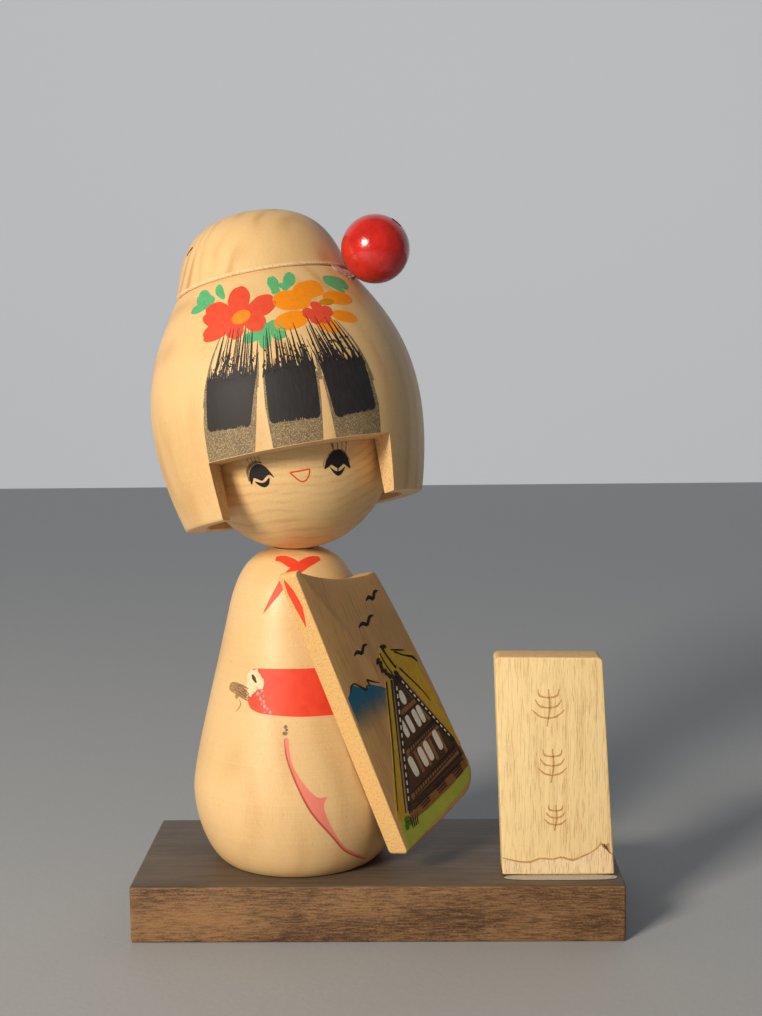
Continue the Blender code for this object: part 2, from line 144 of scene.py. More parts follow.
def sleeve_frame() -> Matrix:
    """The sleeve board's frame: X and Y along and up its inner face, Z outwards.

    Returns:
        The frame's matrix, in metres.
    """
    turn = Matrix.Rotation(SLEEVE_AZIMUTH, 4, "Z") @ Matrix.Rotation(math.pi / 2.0 - SLEEVE_TILT, 4, "X")
    heel = turn @ (Vector(SLEEVE_HEEL) * MM)
    return stance_frame() @ Matrix.Translation(heel) @ turn @ Matrix.Rotation(SLEEVE_LEAN, 4, "Z")


def sign_frame() -> Matrix:
    """The sign's frame: X along the plinth, Y up, Z forwards, from the middle of its foot's back edge.

    Returns:
        The frame's matrix, in metres.
    """
    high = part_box("sign_plaque")[1]
    foot_middle = high.x - SignBoard.foot_width * MM / 2.0
    place = Matrix.Translation((foot_middle, high.y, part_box("base_plinth")[1].z))
    return place @ Matrix.Rotation(math.pi / 2.0, 4, "X")


# ---------------------------------------------------------------------------------------------
# Outlines and profiles, in millimetres
# ---------------------------------------------------------------------------------------------


def bezier(knots: Sequence[Point], steps: int) -> list[Point]:
    """Points along one Bezier curve, given by its start, two handles and end, ends included."""
    corners = [Vector((r, 0.0, z)) for r, z in knots]
    return [(p.x, p.z) for p in interpolate_bezier(*corners, steps)]


def arc(radius: float, start: float, end: float, steps: int, centre: Point = (0.0, 0.0)) -> list[Point]:
    """Points on an arc about a centre between two angles in radians, ends included."""
    angles = [start + (end - start) * i / (steps - 1) for i in range(steps)]
    return [(centre[0] + radius * math.cos(a), centre[1] + radius * math.sin(a)) for a in angles]


def corner_arc(before: Point, corner: Point, after: Point, radius: float, steps: int = 8) -> list[Point]:
    """Points that round the corner between two straight edges.

    Args:
        before: A point on the edge that arrives.
        corner: The sharp corner.
        after: A point on the edge that leaves.
        radius: Radius of the rounding.
        steps: Number of points.

    Returns:
        The rounded corner's points.
    """
    middle = Vector(corner)
    arriving = (Vector(before) - middle).normalized()
    leaving = (Vector(after) - middle).normalized()
    half = arriving.angle(leaving) / 2.0
    reach = radius / math.tan(half)
    centre = middle + (arriving + leaving).normalized() * radius / math.sin(half)
    first = middle + arriving * reach - centre
    last = middle + leaving * reach - centre
    spokes = [first.slerp(last, i / (steps - 1)).normalized() for i in range(steps)]
    return [tuple(centre + spoke * radius) for spoke in spokes]


def bowed(start: Point, end: Point, bow: float, steps: int) -> list[Point]:
    """Points between two corners on a shallow arc that bows to the left of the way.

    Args:
        start: First corner.
        end: Second corner.
        bow: Height of the bow.
        steps: Number of stretches.

    Returns:
        The points between the corners.
    """
    first, last = Vector(start), Vector(end)
    side = (last - first).orthogonal().normalized() * bow
    shares = [i / steps for i in range(1, steps)]
    return [tuple(first.lerp(last, t) + side * 4.0 * t * (1.0 - t)) for t in shares]


def smooth(points: Sequence[Point], steps: int = 4, closed: bool = True) -> list[Point]:
    """A smooth curve through points.

    Args:
        points: The points that the curve passes.
        steps: Stretches between two of them.
        closed: Whether the curve returns to its start.

    Returns:
        The curve's points.
    """
    count = len(points)
    knots = [Vector(p) for p in points]
    stretches = count if closed else count - 1
    curve = []
    for i in range(stretches):
        picked = (i - 1, i, i + 1, i + 2)
        a, b, c, d = (knots[k % count] if closed else knots[min(max(k, 0), count - 1)] for k in picked)
        for step in range(steps):
            t = step / steps
            flow = (c - a) * t + (2 * a - 5 * b + 4 * c - d) * t * t + (3 * b - a - 3 * c + d) * t * t * t
            curve.append(tuple(b + flow * 0.5))
    if not closed:
        curve.append(tuple(knots[-1]))
    return curve


def stroke(points: Sequence[Point], widths: Sequence[float], steps: int = 5) -> list[Point]:
    """The outline of a brush stroke.

    Args:
        points: The stroke's middle line.
        widths: Widths spread evenly along it.
        steps: Stretches between two of its points.

    Returns:
        The closed outline.
    """
    line = [Vector(p) for p in smooth(points, steps, closed=False)]
    shares = np.linspace(0.0, 1.0, len(line))
    halves = np.interp(shares, np.linspace(0.0, 1.0, len(widths)), widths) / 2.0
    left, right = [], []
    for i, (spot, half) in enumerate(zip(line, halves)):
        along = line[min(i + 1, len(line) - 1)] - line[max(i - 1, 0)]
        side = Vector((-along.y, along.x)).normalized() * max(float(half), THINNEST)
        left.append(tuple(spot + side))
        right.append(tuple(spot - side))
    return left + right[::-1]


def blob(centre: Point, length: float, width: float, turn: float = 0.0,
    squareness: float = 2.0) -> list[Point]:
    """A dab of the brush: an oval, or a rounded oblong when it is squarer.

    Args:
        centre: Its middle.
        length: Its size along its own axis.
        width: Its size across.
        turn: Angle of the axis in degrees from the horizontal.
        squareness: 2 for an oval, more for squarer ends.

    Returns:
        The closed outline.
    """
    power = 2.0 / squareness
    angle = math.radians(turn)
    outline = []
    for i in range(DAB_SIDES):
        t = math.tau * i / DAB_SIDES
        x = math.copysign(abs(math.cos(t)) ** power, math.cos(t)) * length / 2.0
        y = math.copysign(abs(math.sin(t)) ** power, math.sin(t)) * width / 2.0
        outline.append(
            (
                centre[0] + x * math.cos(angle) - y * math.sin(angle),
                centre[1] + x * math.sin(angle) + y * math.cos(angle),
            )
        )
    return outline


def petal(root: Point, tip: Point, width: float, notch: float = 0.1, root_width: float = 0.35) -> list[Point]:
    """A petal or leaf from its root to its tip, broadest near the tip.

    Args:
        root: Middle of its narrow end.
        tip: Middle of its broad end.
        width: Its greatest width.
        notch: Depth of the nick in its tip as a share of its length.
        root_width: Width of its root as a share of its greatest width.

    Returns:
        The closed outline.
    """
    along = Vector(tip) - Vector(root)
    across = Vector((-along.y, along.x)).normalized() * width / 2.0
    side = [(0.0, root_width), (0.3, 0.72), (0.62, 1.0), (0.9, 0.72), (1.0, 0.3)]
    shape = side + [(1.0 - notch, 0.0)] + [(t, -s) for t, s in reversed(side)]
    return smooth([tuple(Vector(root) + along * t + across * s) for t, s in shape], 3)


def ragged(start: Point, end: Point, teeth: int, depth: float, dice: random.Random) -> list[Point]:
    """A torn or dry-brushed edge between two points.

    Args:
        start: First point.
        end: Last point.
        teeth: Number of teeth.
        depth: Greatest depth of a tooth, to the left of the way.
        dice: Source of chance.

    Returns:
        The edge's points, ends included.
    """
    first, last = Vector(start), Vector(end)
    side = Vector((-(last - first).y, (last - first).x)).normalized()
    edge = [start]
    for i in range(1, 2 * teeth):
        height = depth * dice.random() if i % 2 else 0.0
        share = (i + dice.uniform(-0.3, 0.3)) / (2 * teeth)
        edge.append(tuple(first.lerp(last, share) + side * height))
    return edge + [end]


# ---------------------------------------------------------------------------------------------
# The bench: how pieces are modelled
# ---------------------------------------------------------------------------------------------


def start_clean() -> None:
    """Leave edit mode and deselect everything, so that an operator acts on new geometry only."""
    if bpy.context.object is not None and bpy.context.object.mode != "OBJECT":
        bpy.ops.object.mode_set(mode="OBJECT")
    bpy.ops.object.select_all(action="DESELECT")


def pick(piece: bpy.types.Object) -> None:
    """Make a piece the only selected and the active one."""
    start_clean()
    piece.select_set(True)
    bpy.context.view_layer.objects.active = piece


def name_piece(name: str) -> bpy.types.Object:
    """Name the object that was just added.

    Args:
        name: Its name, and its mesh's.

    Returns:
        The object.
    """
    piece = bpy.context.active_object
    piece.name = name
    piece.data.name = name
    return piece


def tidy_mesh() -> None:
    """In edit mode, merge what coincides and turn every face outwards."""
    bpy.ops.mesh.select_all(action="SELECT")
    bpy.ops.mesh.remove_doubles(threshold=0.0005)
    bpy.ops.mesh.normals_make_consistent(inside=False)


def turned(name: str, profile: Sequence[Point], steps: int = FINE_STEPS) -> bpy.types.Object:
    """Spin a profile about Z.

    Args:
        name: The piece's name.
        profile: Radii and heights; a solid's profile starts and ends on the axis.
        steps: Sides of the turned piece.

    Returns:
        The piece, in millimetres.
    """
    start_clean()
    bpy.ops.mesh.primitive_plane_add(size=1.0)
    piece = name_piece(name)
    bpy.ops.object.mode_set(mode="EDIT")
    bpy.ops.mesh.merge(type="CENTER")
    here = (0.0, 0.0)
    for number, (radius, height) in enumerate(profile):
        move = (radius - here[0], 0.0, height - here[1])
        if number == 0:
            bpy.ops.transform.translate(value=move)
        else:
            bpy.ops.mesh.extrude_region_move(TRANSFORM_OT_translate={"value": move})
        here = (radius, height)
    bpy.ops.mesh.select_all(action="SELECT")
    bpy.ops.mesh.spin(steps=steps, angle=math.tau, center=(0.0, 0.0, 0.0), axis=(0.0, 0.0, 1.0))
    tidy_mesh()
    bpy.ops.object.mode_set(mode="OBJECT")
    return piece


def flat_faces(name: str, outlines: Sequence[Sequence[Point]]) -> bpy.types.Object:
    """Flat faces facing +Z, one for each outline.

    Args:
        name: The piece's name.
        outlines: Closed outlines.

    Returns:
        The piece, in millimetres and left in edit mode.
    """
    start_clean()
    piece = None
    for outline in outlines:
        bpy.ops.mesh.primitive_circle_add(vertices=len(outline), fill_type="NGON")
        if piece is None:
            piece = name_piece(name)
            bpy.ops.object.mode_set(mode="EDIT")
        mesh = bmesh.from_edit_mesh(piece.data)
        mesh.verts.ensure_lookup_table()
        area = sum(a[0] * b[1] - b[0] * a[1] for a, b in zip(outline, [*outline[1:], outline[0]]))
        ordered = outline if area > 0.0 else outline[::-1]
        for vertex, (x, y) in zip(mesh.verts[-len(outline):], ordered):
            vertex.co = (x, y, 0.0)
        mesh.normal_update()
        bmesh.update_edit_mesh(piece.data)
    return piece


def board(name: str, outline: Sequence[Point], thickness: float, edge: float) -> bpy.types.Object:
    """A flat board from Z 0 up, with rounded edges.

    Args:
        name: The piece's name.
        outline: Its closed outline.
        thickness: Its thickness.
        edge: Radius of its rounded edges.

    Returns:
        The piece, in millimetres.
    """
    piece = flat_faces(name, [outline])
    bpy.ops.mesh.select_all(action="SELECT")
    bpy.ops.mesh.extrude_region_move(TRANSFORM_OT_translate={"value": (0.0, 0.0, thickness)})
    tidy_mesh()
    bpy.ops.object.mode_set(mode="OBJECT")
    bevel = piece.modifiers.new("round", "BEVEL")
    bevel.width = edge
    bevel.segments = 4
    bevel.limit_method = "ANGLE"
    bevel.angle_limit = math.radians(40.0)
    apply_modifiers(piece)
    return piece


def apply_modifiers(piece: bpy.types.Object) -> None:
    """Apply every modifier of a piece, in order."""
    pick(piece)
    for modifier in list(piece.modifiers):
        bpy.ops.object.modifier_apply(modifier=modifier.name)


def cut(piece: bpy.types.Object, cutter: bpy.types.Object) -> None:
    """Take a cutter out of a piece and throw the cutter away."""
    modifier = piece.modifiers.new("cut", "BOOLEAN")
    modifier.operation = "DIFFERENCE"
    modifier.solver = "EXACT"
    modifier.object = cutter
    apply_modifiers(piece)
    bpy.data.objects.remove(cutter, do_unlink=True)


def set_down(piece: bpy.types.Object, place: Matrix) -> bpy.types.Object:
    """Move a piece from its workshop frame to its place, and smooth its round faces.

    Args:
        piece: The piece, in millimetres.
        place: Its frame in the doll, in metres.

    Returns:
        The piece, with its place in its mesh.
    """
    pick(piece)
    piece.matrix_world = place @ Matrix.Scale(MM, 4)
    bpy.ops.object.transform_apply(location=True, rotation=True, scale=True)
    bpy.ops.object.shade_smooth_by_angle(angle=CREASE)
    return piece


def hand_over(piece: bpy.types.Object, body: Body, slot: Slot | None = None, *nodes: str) -> None:
    """Let a finished piece ride, and hide the plain parts it replaces.

    Args:
        piece: The finished piece.
        body: The body it moves with.
        slot: The finish it takes, if the record has one for it. Not used.
        nodes: The plain parts it replaces.
    """
    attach(piece, body.value)
    if nodes:
        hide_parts(*nodes)
    LOG.info("%s rides on %s, %d faces", piece.name, body.value, len(piece.data.polygons))


def dress(piece: bpy.types.Object, *materials: bpy.types.Material) -> None:
    """Give a piece its materials, the first on every face."""
    piece.data.materials.clear()
    for material in materials:
        piece.data.materials.append(material)


# ---------------------------------------------------------------------------------------------
# Surfaces that paint lies on
# ---------------------------------------------------------------------------------------------


@dataclass(frozen=True)
class TurnedSurface:
    """The side of a turned piece, unrolled: u runs round it to the right, v up its axis.

    Attributes:
        profile: Radii and heights of the side, top first.
        reference: Radius at which u is true to length.
    """

    profile: tuple[Point, ...]
    reference: float

    def spot(self, u: float, v: float, lift: float) -> Vector:
        """The point of the surface at (u, v), lifted off the wood."""
        rising = self.profile[::-1]
        radius = float(np.interp(v, [z for _, z in rising], [r for r, _ in rising])) + lift
        angle = u / self.reference
        return Vector((radius * math.sin(angle), -radius * math.cos(angle), v))


@dataclass(frozen=True)
class BallSurface:
    """A ball's side, unrolled like a turned one, with the lift square to the ball.

    Attributes:
        radius: The ball's radius.
        reference: Radius at which u is true to length.
    """

    radius: float
    reference: float

    def spot(self, u: float, v: float, lift: float) -> Vector:
        """The point of the surface at (u, v), lifted off the wood."""
        level = math.sqrt(max(self.radius**2 - v * v, 0.0))
        angle = u / self.reference
        point = Vector((level * math.sin(angle), -level * math.cos(angle), v))
        return point * ((self.radius + lift) / self.radius)


@dataclass(frozen=True)
class ShoulderSurface:
    """The shoulder of a turned piece, seen square from in front and above.

    Attributes:
        profile: Radii and heights of the piece, top first.
        height: Height of the picture's origin on the axis.
        slope: How far the picture leans back, in radians.
    """

    profile: tuple[Point, ...]
    height: float
    slope: float

    def spot(self, u: float, v: float, lift: float) -> Vector:
        """The point of the shoulder straight behind (u, v) in the picture, lifted off the wood."""
        up = Vector((0.0, math.sin(self.slope), math.cos(self.slope)))
        out = Vector((0.0, -math.cos(self.slope), math.sin(self.slope)))
        start = Vector((u, 0.0, self.height)) + up * v
        near, far = 0.0, 40.0
        rising = self.profile[::-1]
        for _ in range(24):
            reach = (near + far) / 2.0
            point = start + out * reach
            radius = float(np.interp(point.z, [z for _, z in rising], [r for r, _ in rising], right=0.0))
            if math.hypot(point.x, point.y) < radius:
                near = reach
            else:
                far = reach
        return start + out * (far + lift)


@dataclass(frozen=True)
class FlatSurface:
    """A board's face.

    Attributes:
        height: Height of the face along Z.
    """

    height: float

    def spot(self, u: float, v: float, lift: float) -> Vector:
        """The point of the face at (u, v), lifted off the wood."""
        return Vector((u, v, self.height + lift))


@dataclass(frozen=True)
class EdgeSurface:
    """A board's narrow edge in the plane X 0, facing -X: u runs through the thickness, v up the edge.

    Attributes:
        offset: Where the edge lies along X.
    """

    offset: float

    def spot(self, u: float, v: float, lift: float) -> Vector:
        """The point of the edge at (u, v), lifted off the wood."""
        return Vector((self.offset - lift, v, u))


@dataclass(frozen=True)
class FloorSurface:
    """The plinth's top seen from a board that stands on it: u runs along the board, v forwards.

    Attributes:
        height: Height above the board's origin.
    """

    height: float

    def spot(self, u: float, v: float, lift: float) -> Vector:
        """The point of the floor at (u, v), lifted off it."""
        return Vector((u, self.height + lift, v))


Surface = TurnedSurface | BallSurface | ShoulderSurface | FlatSurface | EdgeSurface | FloorSurface
BOB_REFERENCE = 32.0  # radius at which the bob's painting is true to length, mm
DAB_SIDES = 18  # points round a dab of the brush
THINNEST = 0.02  # least half width of a stroke, mm
DOWEL_CHAMFER = 0.5  # at both ends of a dowel, mm
FILM_LIFT = 0.012  # how far the first coat stands above bare wood, mm
FILM_STEP = 0.022  # each coat of paint lies this much prouder than the one before, mm
FILM_ROOT = 0.09  # how far a film reaches into the wood, mm


def film(
    name: str,
    outlines: Sequence[Sequence[Point]],
    surface: Surface,
    coat: int,
    cell: float | None = 1.1,
    trim: tuple[Vector, Vector] | None = None,
) -> bpy.types.Object:
    """A coat of paint: outlines laid on a surface as a thin closed skin.

    Args:
        name: The piece's name.
        outlines: Closed outlines on the unrolled surface.
        surface: What the paint lies on.
        coat: 1 for paint on bare wood, 2 for paint on paint, and so on.
        cell: Size of the cells it is cut in to follow a curved surface, None on a flat one.
        trim: A point and a normal of a plane beyond which there is no paint.

    Returns:
        The film, in millimetres.
    """
    piece = flat_faces(name, outlines)
    if cell is not None:
        spots = np.array([p for outline in outlines for p in outline])
        for axis, direction in enumerate(((1.0, 0.0, 0.0), (0.0, 1.0, 0.0))):
            low, high = spots[:, axis].min(), spots[:, axis].max()
            for i in range(1, int((high - low) / cell) + 1):
                bpy.ops.mesh.select_all(action="SELECT")
                place = tuple(c * (low + i * cell) for c in direction)
                bpy.ops.mesh.bisect(plane_co=place, plane_no=direction, use_fill=False)
    bpy.ops.object.mode_set(mode="OBJECT")
    lift = FILM_LIFT + FILM_STEP * coat
    for vertex in piece.data.vertices:
        vertex.co = surface.spot(vertex.co.x, vertex.co.y, lift)
    piece.data.update()
    if trim is not None:
        pick(piece)
        bpy.ops.object.mode_set(mode="EDIT")
        bpy.ops.mesh.select_all(action="SELECT")
        bpy.ops.mesh.bisect(plane_co=trim[0], plane_no=trim[1], use_fill=False, clear_outer=True)
        bpy.ops.object.mode_set(mode="OBJECT")
    skin = piece.modifiers.new("skin", "SOLIDIFY")
    skin.thickness = FILM_ROOT
    skin.offset = -1.0
    apply_modifiers(piece)
    return piece


# ---------------------------------------------------------------------------------------------
# Finishes
# ---------------------------------------------------------------------------------------------


def swatch(red: int, green: int, blue: int) -> Colour:
    """A painter's swatch, 0 to 255 a channel, as a linear colour."""
    return tuple(
        c / 255 / 12.92 if c / 255 <= 0.04045 else ((c / 255 + 0.055) / 1.055) ** 2.4
        for c in (red, green, blue)
    )


class Shade:
    """A number inside a shader; arithmetic on it adds Math nodes."""

    def __init__(self, recipe: "Recipe", socket: bpy.types.NodeSocket) -> None:
        """Wrap one output socket of a recipe."""
        self.recipe = recipe
        self.socket = socket

    def math(self, operation: str, *others: "Shade | float", first: float | None = None) -> "Shade":
        """A Math node on this number.

        Args:
            operation: The node's operation.
            others: The numbers after this one.
            first: A number before this one.

        Returns:
            The node's result.
        """
        terms = [*([] if first is None else [first]), self, *others]
        made = self.recipe.node("ShaderNodeMath", {"operation": operation}, dict(enumerate(terms)))
        return Shade(self.recipe, made.outputs[0])

    def __add__(self, other: "Shade | float") -> "Shade":
        """This plus another."""
        return self.math("ADD", other)

    __radd__ = __add__

    def __sub__(self, other: "Shade | float") -> "Shade":
        """This less another."""
        return self.math("SUBTRACT", other)

    def __rsub__(self, other: float) -> "Shade":
        """A number less this."""
        return self.math("SUBTRACT", first=other)

    def __mul__(self, other: "Shade | float") -> "Shade":
        """This times another."""
        return self.math("MULTIPLY", other)

    __rmul__ = __mul__

    def __pow__(self, power: float) -> "Shade":
        """This to a power."""
        return self.math("POWER", power)

    def between(self, low: float, high: float) -> "Shade":
        """A smooth step from 0 at low to 1 at high."""
        made = self.recipe.node(
            "ShaderNodeMapRange",
            {"interpolation_type": "SMOOTHSTEP", "clamp": True},
            {"Value": self, "From Min": low, "From Max": high},
        )
        return Shade(self.recipe, made.outputs[0])


class Recipe:
    """One material under construction, with its coordinates in millimetres of a piece's own frame."""

    def __init__(self, name: str, place: Matrix) -> None:
        """Start a material.

        Args:
            name: The material's name.
            place: The piece's frame in the doll, in metres.
        """
        self.material = bpy.data.materials.new(name)
        self.material.use_nodes = True
        self.tree = self.material.node_tree
        self.shader = self.tree.nodes["Principled BSDF"]
        where = self.node("ShaderNodeTexCoord")
        self.normal = where.outputs["Normal"]
        self.spot = self.node(
            "ShaderNodeMapping",
            {"vector_type": "TEXTURE"},
            {
                "Vector": where.outputs["Object"],
                "Location": place.to_translation(),
                "Rotation": place.to_euler(),
                "Scale": (MM, MM, MM),
            },
        ).outputs[0]

    def node(self, kind: str, settings: dict | None = None, sockets: dict | None = None) -> bpy.types.Node:
        """Add a node.

        Args:
            kind: The node's type.
            settings: Its properties, and the stops of its ramp.
            sockets: Values or links of its inputs, by name or number.

        Returns:
            The node.
        """
        made = self.tree.nodes.new(kind)
        for key, value in (settings or {}).items():
            if key == "stops":
                self.set_stops(made.color_ramp, value)
            else:
                setattr(made, key, value)
        for key, value in (sockets or {}).items():
            self.join(made.inputs[key], value)
        return made

    def join(self, socket: bpy.types.NodeSocket, value: object) -> None:
        """Link a socket to a value's source, or set it."""
        source = value.socket if isinstance(value, Shade) else value
        if isinstance(source, bpy.types.NodeSocket):
            self.tree.links.new(source, socket)
        else:
            socket.default_value = source

    @staticmethod
    def set_stops(ramp: bpy.types.ColorRamp, stops: Sequence[tuple[float, Colour]]) -> None:
        """Give a ramp its stops."""
        while len(ramp.elements) < len(stops):
            ramp.elements.new(1.0)
        for element, (position, colour) in zip(ramp.elements, stops):
            element.position = position
            element.color = (*colour, 1.0)

    def noise(
        self, size: tuple[float, float, float], detail: float = 2.0, rough: float = 0.5, shift: float = 0.0
    ) -> Shade:
        """Soft noise from 0 to 1.

        Args:
            size: Size of its features along X, Y and Z, in millimetres.
            detail: Its octaves.
            rough: Strength of the finer octaves.
            shift: Moves it, so that two noises differ.

        Returns:
            The noise.
        """
        scaled = self.node(
            "ShaderNodeMapping",
            None,
            {"Vector": self.spot, "Location": (shift, shift, shift), "Scale": tuple(1.0 / s for s in size)},
        )
        made = self.node(
            "ShaderNodeTexNoise",
            None,
            {"Vector": scaled.outputs[0], "Scale": 1.0, "Detail": detail, "Roughness": rough},
        )
        return Shade(self, made.outputs[0])

    def along(self, axis: int) -> Shade:
        """The coordinate along one axis, in millimetres."""
        return Shade(self, self.node("ShaderNodeSeparateXYZ", None, {0: self.spot}).outputs[axis])

    def facing(self, axis: int) -> Shade:
        """How much the surface faces along an axis of the doll, from -1 to 1."""
        return Shade(self, self.node("ShaderNodeSeparateXYZ", None, {0: self.normal}).outputs[axis])

    def mix(self, share: Shade | float, first: object, second: object,
        blend: str = "MIX") -> bpy.types.NodeSocket:
        """Blend two colours.

        Args:
            share: How much of the second.
            first: The colour under it.
            second: The colour on top.
            blend: The blend's kind.

        Returns:
            The blended colour.
        """
        colours = [(*c, 1.0) if isinstance(c, tuple) else c for c in (first, second)]
        made = self.node(
            "ShaderNodeMix", {"data_type": "RGBA", "blend_type": blend},
                {0: share, 6: colours[0], 7: colours[1]}
        )
        return made.outputs[2]

    def bump(self, height: Shade, depth: float, strength: float = 1.0) -> None:
        """Raise the surface by a height.

        Args:
            height: The height from 0 to 1.
            depth: What 1 stands for, in millimetres.
            strength: Strength of the effect.
        """
        made = self.node("ShaderNodeBump", None, {"Height": height, "Distance": depth * MM,
            "Strength": strength})
        self.join(self.shader.inputs["Normal"], made.outputs[0])

    def finish(self, colour: object, roughness: Shade | float, **sockets: object) -> bpy.types.Material:
        """Connect the colour and roughness, and set what else the shader needs.

        Args:
            colour: The base colour.
            roughness: The roughness.
            sockets: Other inputs, their names with underscores for spaces.

        Returns:
            The material.
        """
        self.join(self.shader.inputs["Base Color"], colour)
        self.join(self.shader.inputs["Roughness"], roughness)
        for key, value in sockets.items():
            self.join(self.shader.inputs[key.replace("_", " ")], value)
        return self.material


@dataclass(frozen=True)
class TurnedWood:
    """Pale turned wood: growth rings cut by the lathe, fine fibre, turning marks and flecks.

    Attributes:
        name: The material's name.
        pale: Colour of the early wood.
        dark: Colour of the late wood.
        pith: Where the tree's middle lies across the grain, and how it drifts along it, mm.
        tree_axis: 0, 1 or 2, the axis that the grain follows.
        ring: Distance between growth rings, mm.
        ring_strength: How strongly the rings show.
        sharpness: How thin the late wood is.
        wander: How far the rings stray, mm.
        fibre: Size of the fibre along and across, mm.
        marks: How strongly the turning marks show.
        roughness: Roughness of the varnish.
        coat: Weight of the varnish.
        seed: Makes pieces of the same wood differ.
    """

    name: str
    pale: Colour = swatch(240, 203, 145)
    dark: Colour = swatch(204, 152, 90)
    pith: tuple[float, float, float] = (46.0, 30.0, 0.12)
    tree_axis: int = 2
    ring: float = 4.5
    ring_strength: float = 0.35
    sharpness: float = 2.2
    wander: float = 9.0
    fibre: tuple[float, float] = (7.0, 0.22)
    marks: float = 0.25
    roughness: float = 0.46
    coat: float = 0.12
    seed: float = 0.0

    def make(self, place: Matrix, highlight_band: tuple[float, float] | None = None) -> bpy.types.Material:
        """Build the material.

        Args:
            place: The piece's frame in the doll.
            highlight_band: Heights between which the edge is drawn pale and rough, as a painted edge
                highlight, if any.

        Returns:
            The material.
        """
        recipe = Recipe(self.name, place)
        z = recipe.along(2)
        first, second = (recipe.along(axis) for axis in range(3) if axis != self.tree_axis)
        wander = recipe.noise((16.0, 16.0, 30.0), 2.0, 0.5, self.seed)
        side_x = first - self.pith[0] + recipe.along(self.tree_axis) * self.pith[2]
        side_y = second - self.pith[1] + wander * self.wander
        reach = (side_x * side_x + side_y * side_y) ** 0.5
        wave = (reach * (math.tau / self.ring)).math("SINE") * 0.5 + 0.5
        rings = wave**self.sharpness * recipe.noise((9.0, 9.0, 30.0), 1.0, 0.5,
            self.seed + 5.0).between(0.25, 0.75)
        length, width = self.fibre
        fibre = recipe.noise((width, width, length), 3.0, 0.6, self.seed + 11.0)
        marks = recipe.noise((60.0, 60.0, 0.35), 3.0, 0.65, self.seed + 17.0)
        cloud = recipe.noise((20.0, 20.0, 34.0), 3.0, 0.55, self.seed + 23.0)
        fleck = recipe.noise((0.5, 0.5, 0.9), 1.0, 0.5, self.seed + 29.0).between(0.74, 0.8)
        share = rings * self.ring_strength + (fibre - 0.5) * 0.5 + (marks - 0.5) * self.marks + cloud * 0.34
        colour = recipe.mix(share.between(-0.05, 0.95), self.pale, self.dark)
        colour = recipe.mix(fleck * 0.45, colour, swatch(150, 98, 50))
        rough = self.roughness + (fibre - 0.5) * 0.2
        height = fibre * 0.6 + marks * 0.6
        # Painted edge highlight: torn marks a band along the edge whose pale colour stands for light on it,
        # with a darker speckle, rough bump and more roughness.
        if highlight_band is not None:
            torn = z.between(highlight_band[0], highlight_band[0] + 0.15) * (1.0 - z.between(highlight_band[1] - 0.35,
                highlight_band[1]))
            tear = recipe.noise((0.35, 0.35, 0.5), 3.0, 0.7, self.seed + 31.0)
            colour = recipe.mix(torn * tear.between(0.35, 0.6), colour, swatch(248, 222, 176))
            colour = recipe.mix(torn * (1.0 - tear.between(0.3, 0.42)) * 0.5, colour, swatch(184, 136, 84))
            rough = rough + torn * 0.4
            height = height + torn * tear * 3.0
        recipe.bump(height, 0.02)
        return recipe.finish(colour, rough, Coat_Weight=self.coat, Coat_Roughness=0.28,
            Specular_IOR_Level=0.4)


@dataclass(frozen=True)
class SawnWood:
    """Sawn or planed board wood with its grain along one axis.

    Attributes:
        name: The material's name.
        pale: Colour between the pores.
        dark: Colour of the pores and late wood.
        grain_axis: 0, 1 or 2, the axis that the grain follows.
        pore: Size of a pore along and across the grain, mm.
        pore_share: How strongly the pores show.
        cloud: How strongly the colour drifts.
        relief: Depth of the pores, mm.
        roughness: Its roughness.
        seed: Makes boards of the same wood differ.
    """

    name: str
    pale: Colour
    dark: Colour
    grain_axis: int = 1
    pore: tuple[float, float] = (4.0, 0.28)
    pore_share: float = 0.7
    cloud: float = 0.4
    relief: float = 0.06
    roughness: float = 0.6
    seed: float = 0.0

    def sizes(self, along: float, across: float) -> tuple[float, float, float]:
        """A feature size turned to the grain."""
        size = [across] * 3
        size[self.grain_axis] = along
        return tuple(size)

    def make(self, place: Matrix) -> bpy.types.Material:
        """Build the material."""
        recipe = Recipe(self.name, place)
        length, width = self.pore
        pores = recipe.noise(self.sizes(length, width), 2.0, 0.5, self.seed).between(0.52, 0.68)
        broad = recipe.noise(self.sizes(length * 9.0, width * 7.0), 2.0, 0.5, self.seed + 7.0)
        cloud = recipe.noise((13.0, 13.0, 13.0), 3.0, 0.6, self.seed + 13.0)
        speck = recipe.noise((0.3, 0.3, 0.3), 2.0, 0.6, self.seed + 19.0)
        share = (
            pores * self.pore_share + (broad - 0.5) * 0.9
            + (cloud - 0.5) * self.cloud + (speck - 0.5) * 0.3
        )
        colour = recipe.mix(share.between(-0.15, 0.95), self.pale, self.dark)
        recipe.bump(1.0 - pores * 0.8 + speck * 0.3, self.relief)
        return recipe.finish(colour, self.roughness + (speck - 0.5) * 0.2, Specular_IOR_Level=0.35)


@dataclass(frozen=True)
class EndGrain:
    """A sawn edge across the grain: coarse speckle of pores.

    Attributes:
        name: The material's name.
        pale: Colour of the wood.
        dark: Colour of the pores.
        size: Size of the speckle, mm.
        share: How strongly it shows.
        roughness: Its roughness.
    """

    name: str
    pale: Colour
    dark: Colour
    size: float = 0.55
    share: float = 0.8
    roughness: float = 0.75

    def make(self, place: Matrix) -> bpy.types.Material:
        """Build the material."""
        recipe = Recipe(self.name, place)
        grit = recipe.noise((self.size, self.size * 1.5, self.size), 2.0, 0.55)
        coarse = recipe.noise((self.size * 5.0,) * 3, 2.0, 0.5, 3.0)
        share = grit.between(0.44, 0.66) * self.share + (coarse - 0.5) * 0.5
        colour = recipe.mix(share.between(-0.1, 1.0), self.pale, self.dark)
        recipe.bump(grit, 0.08)
        return recipe.finish(colour, self.roughness + grit * 0.1, Specular_IOR_Level=0.3)


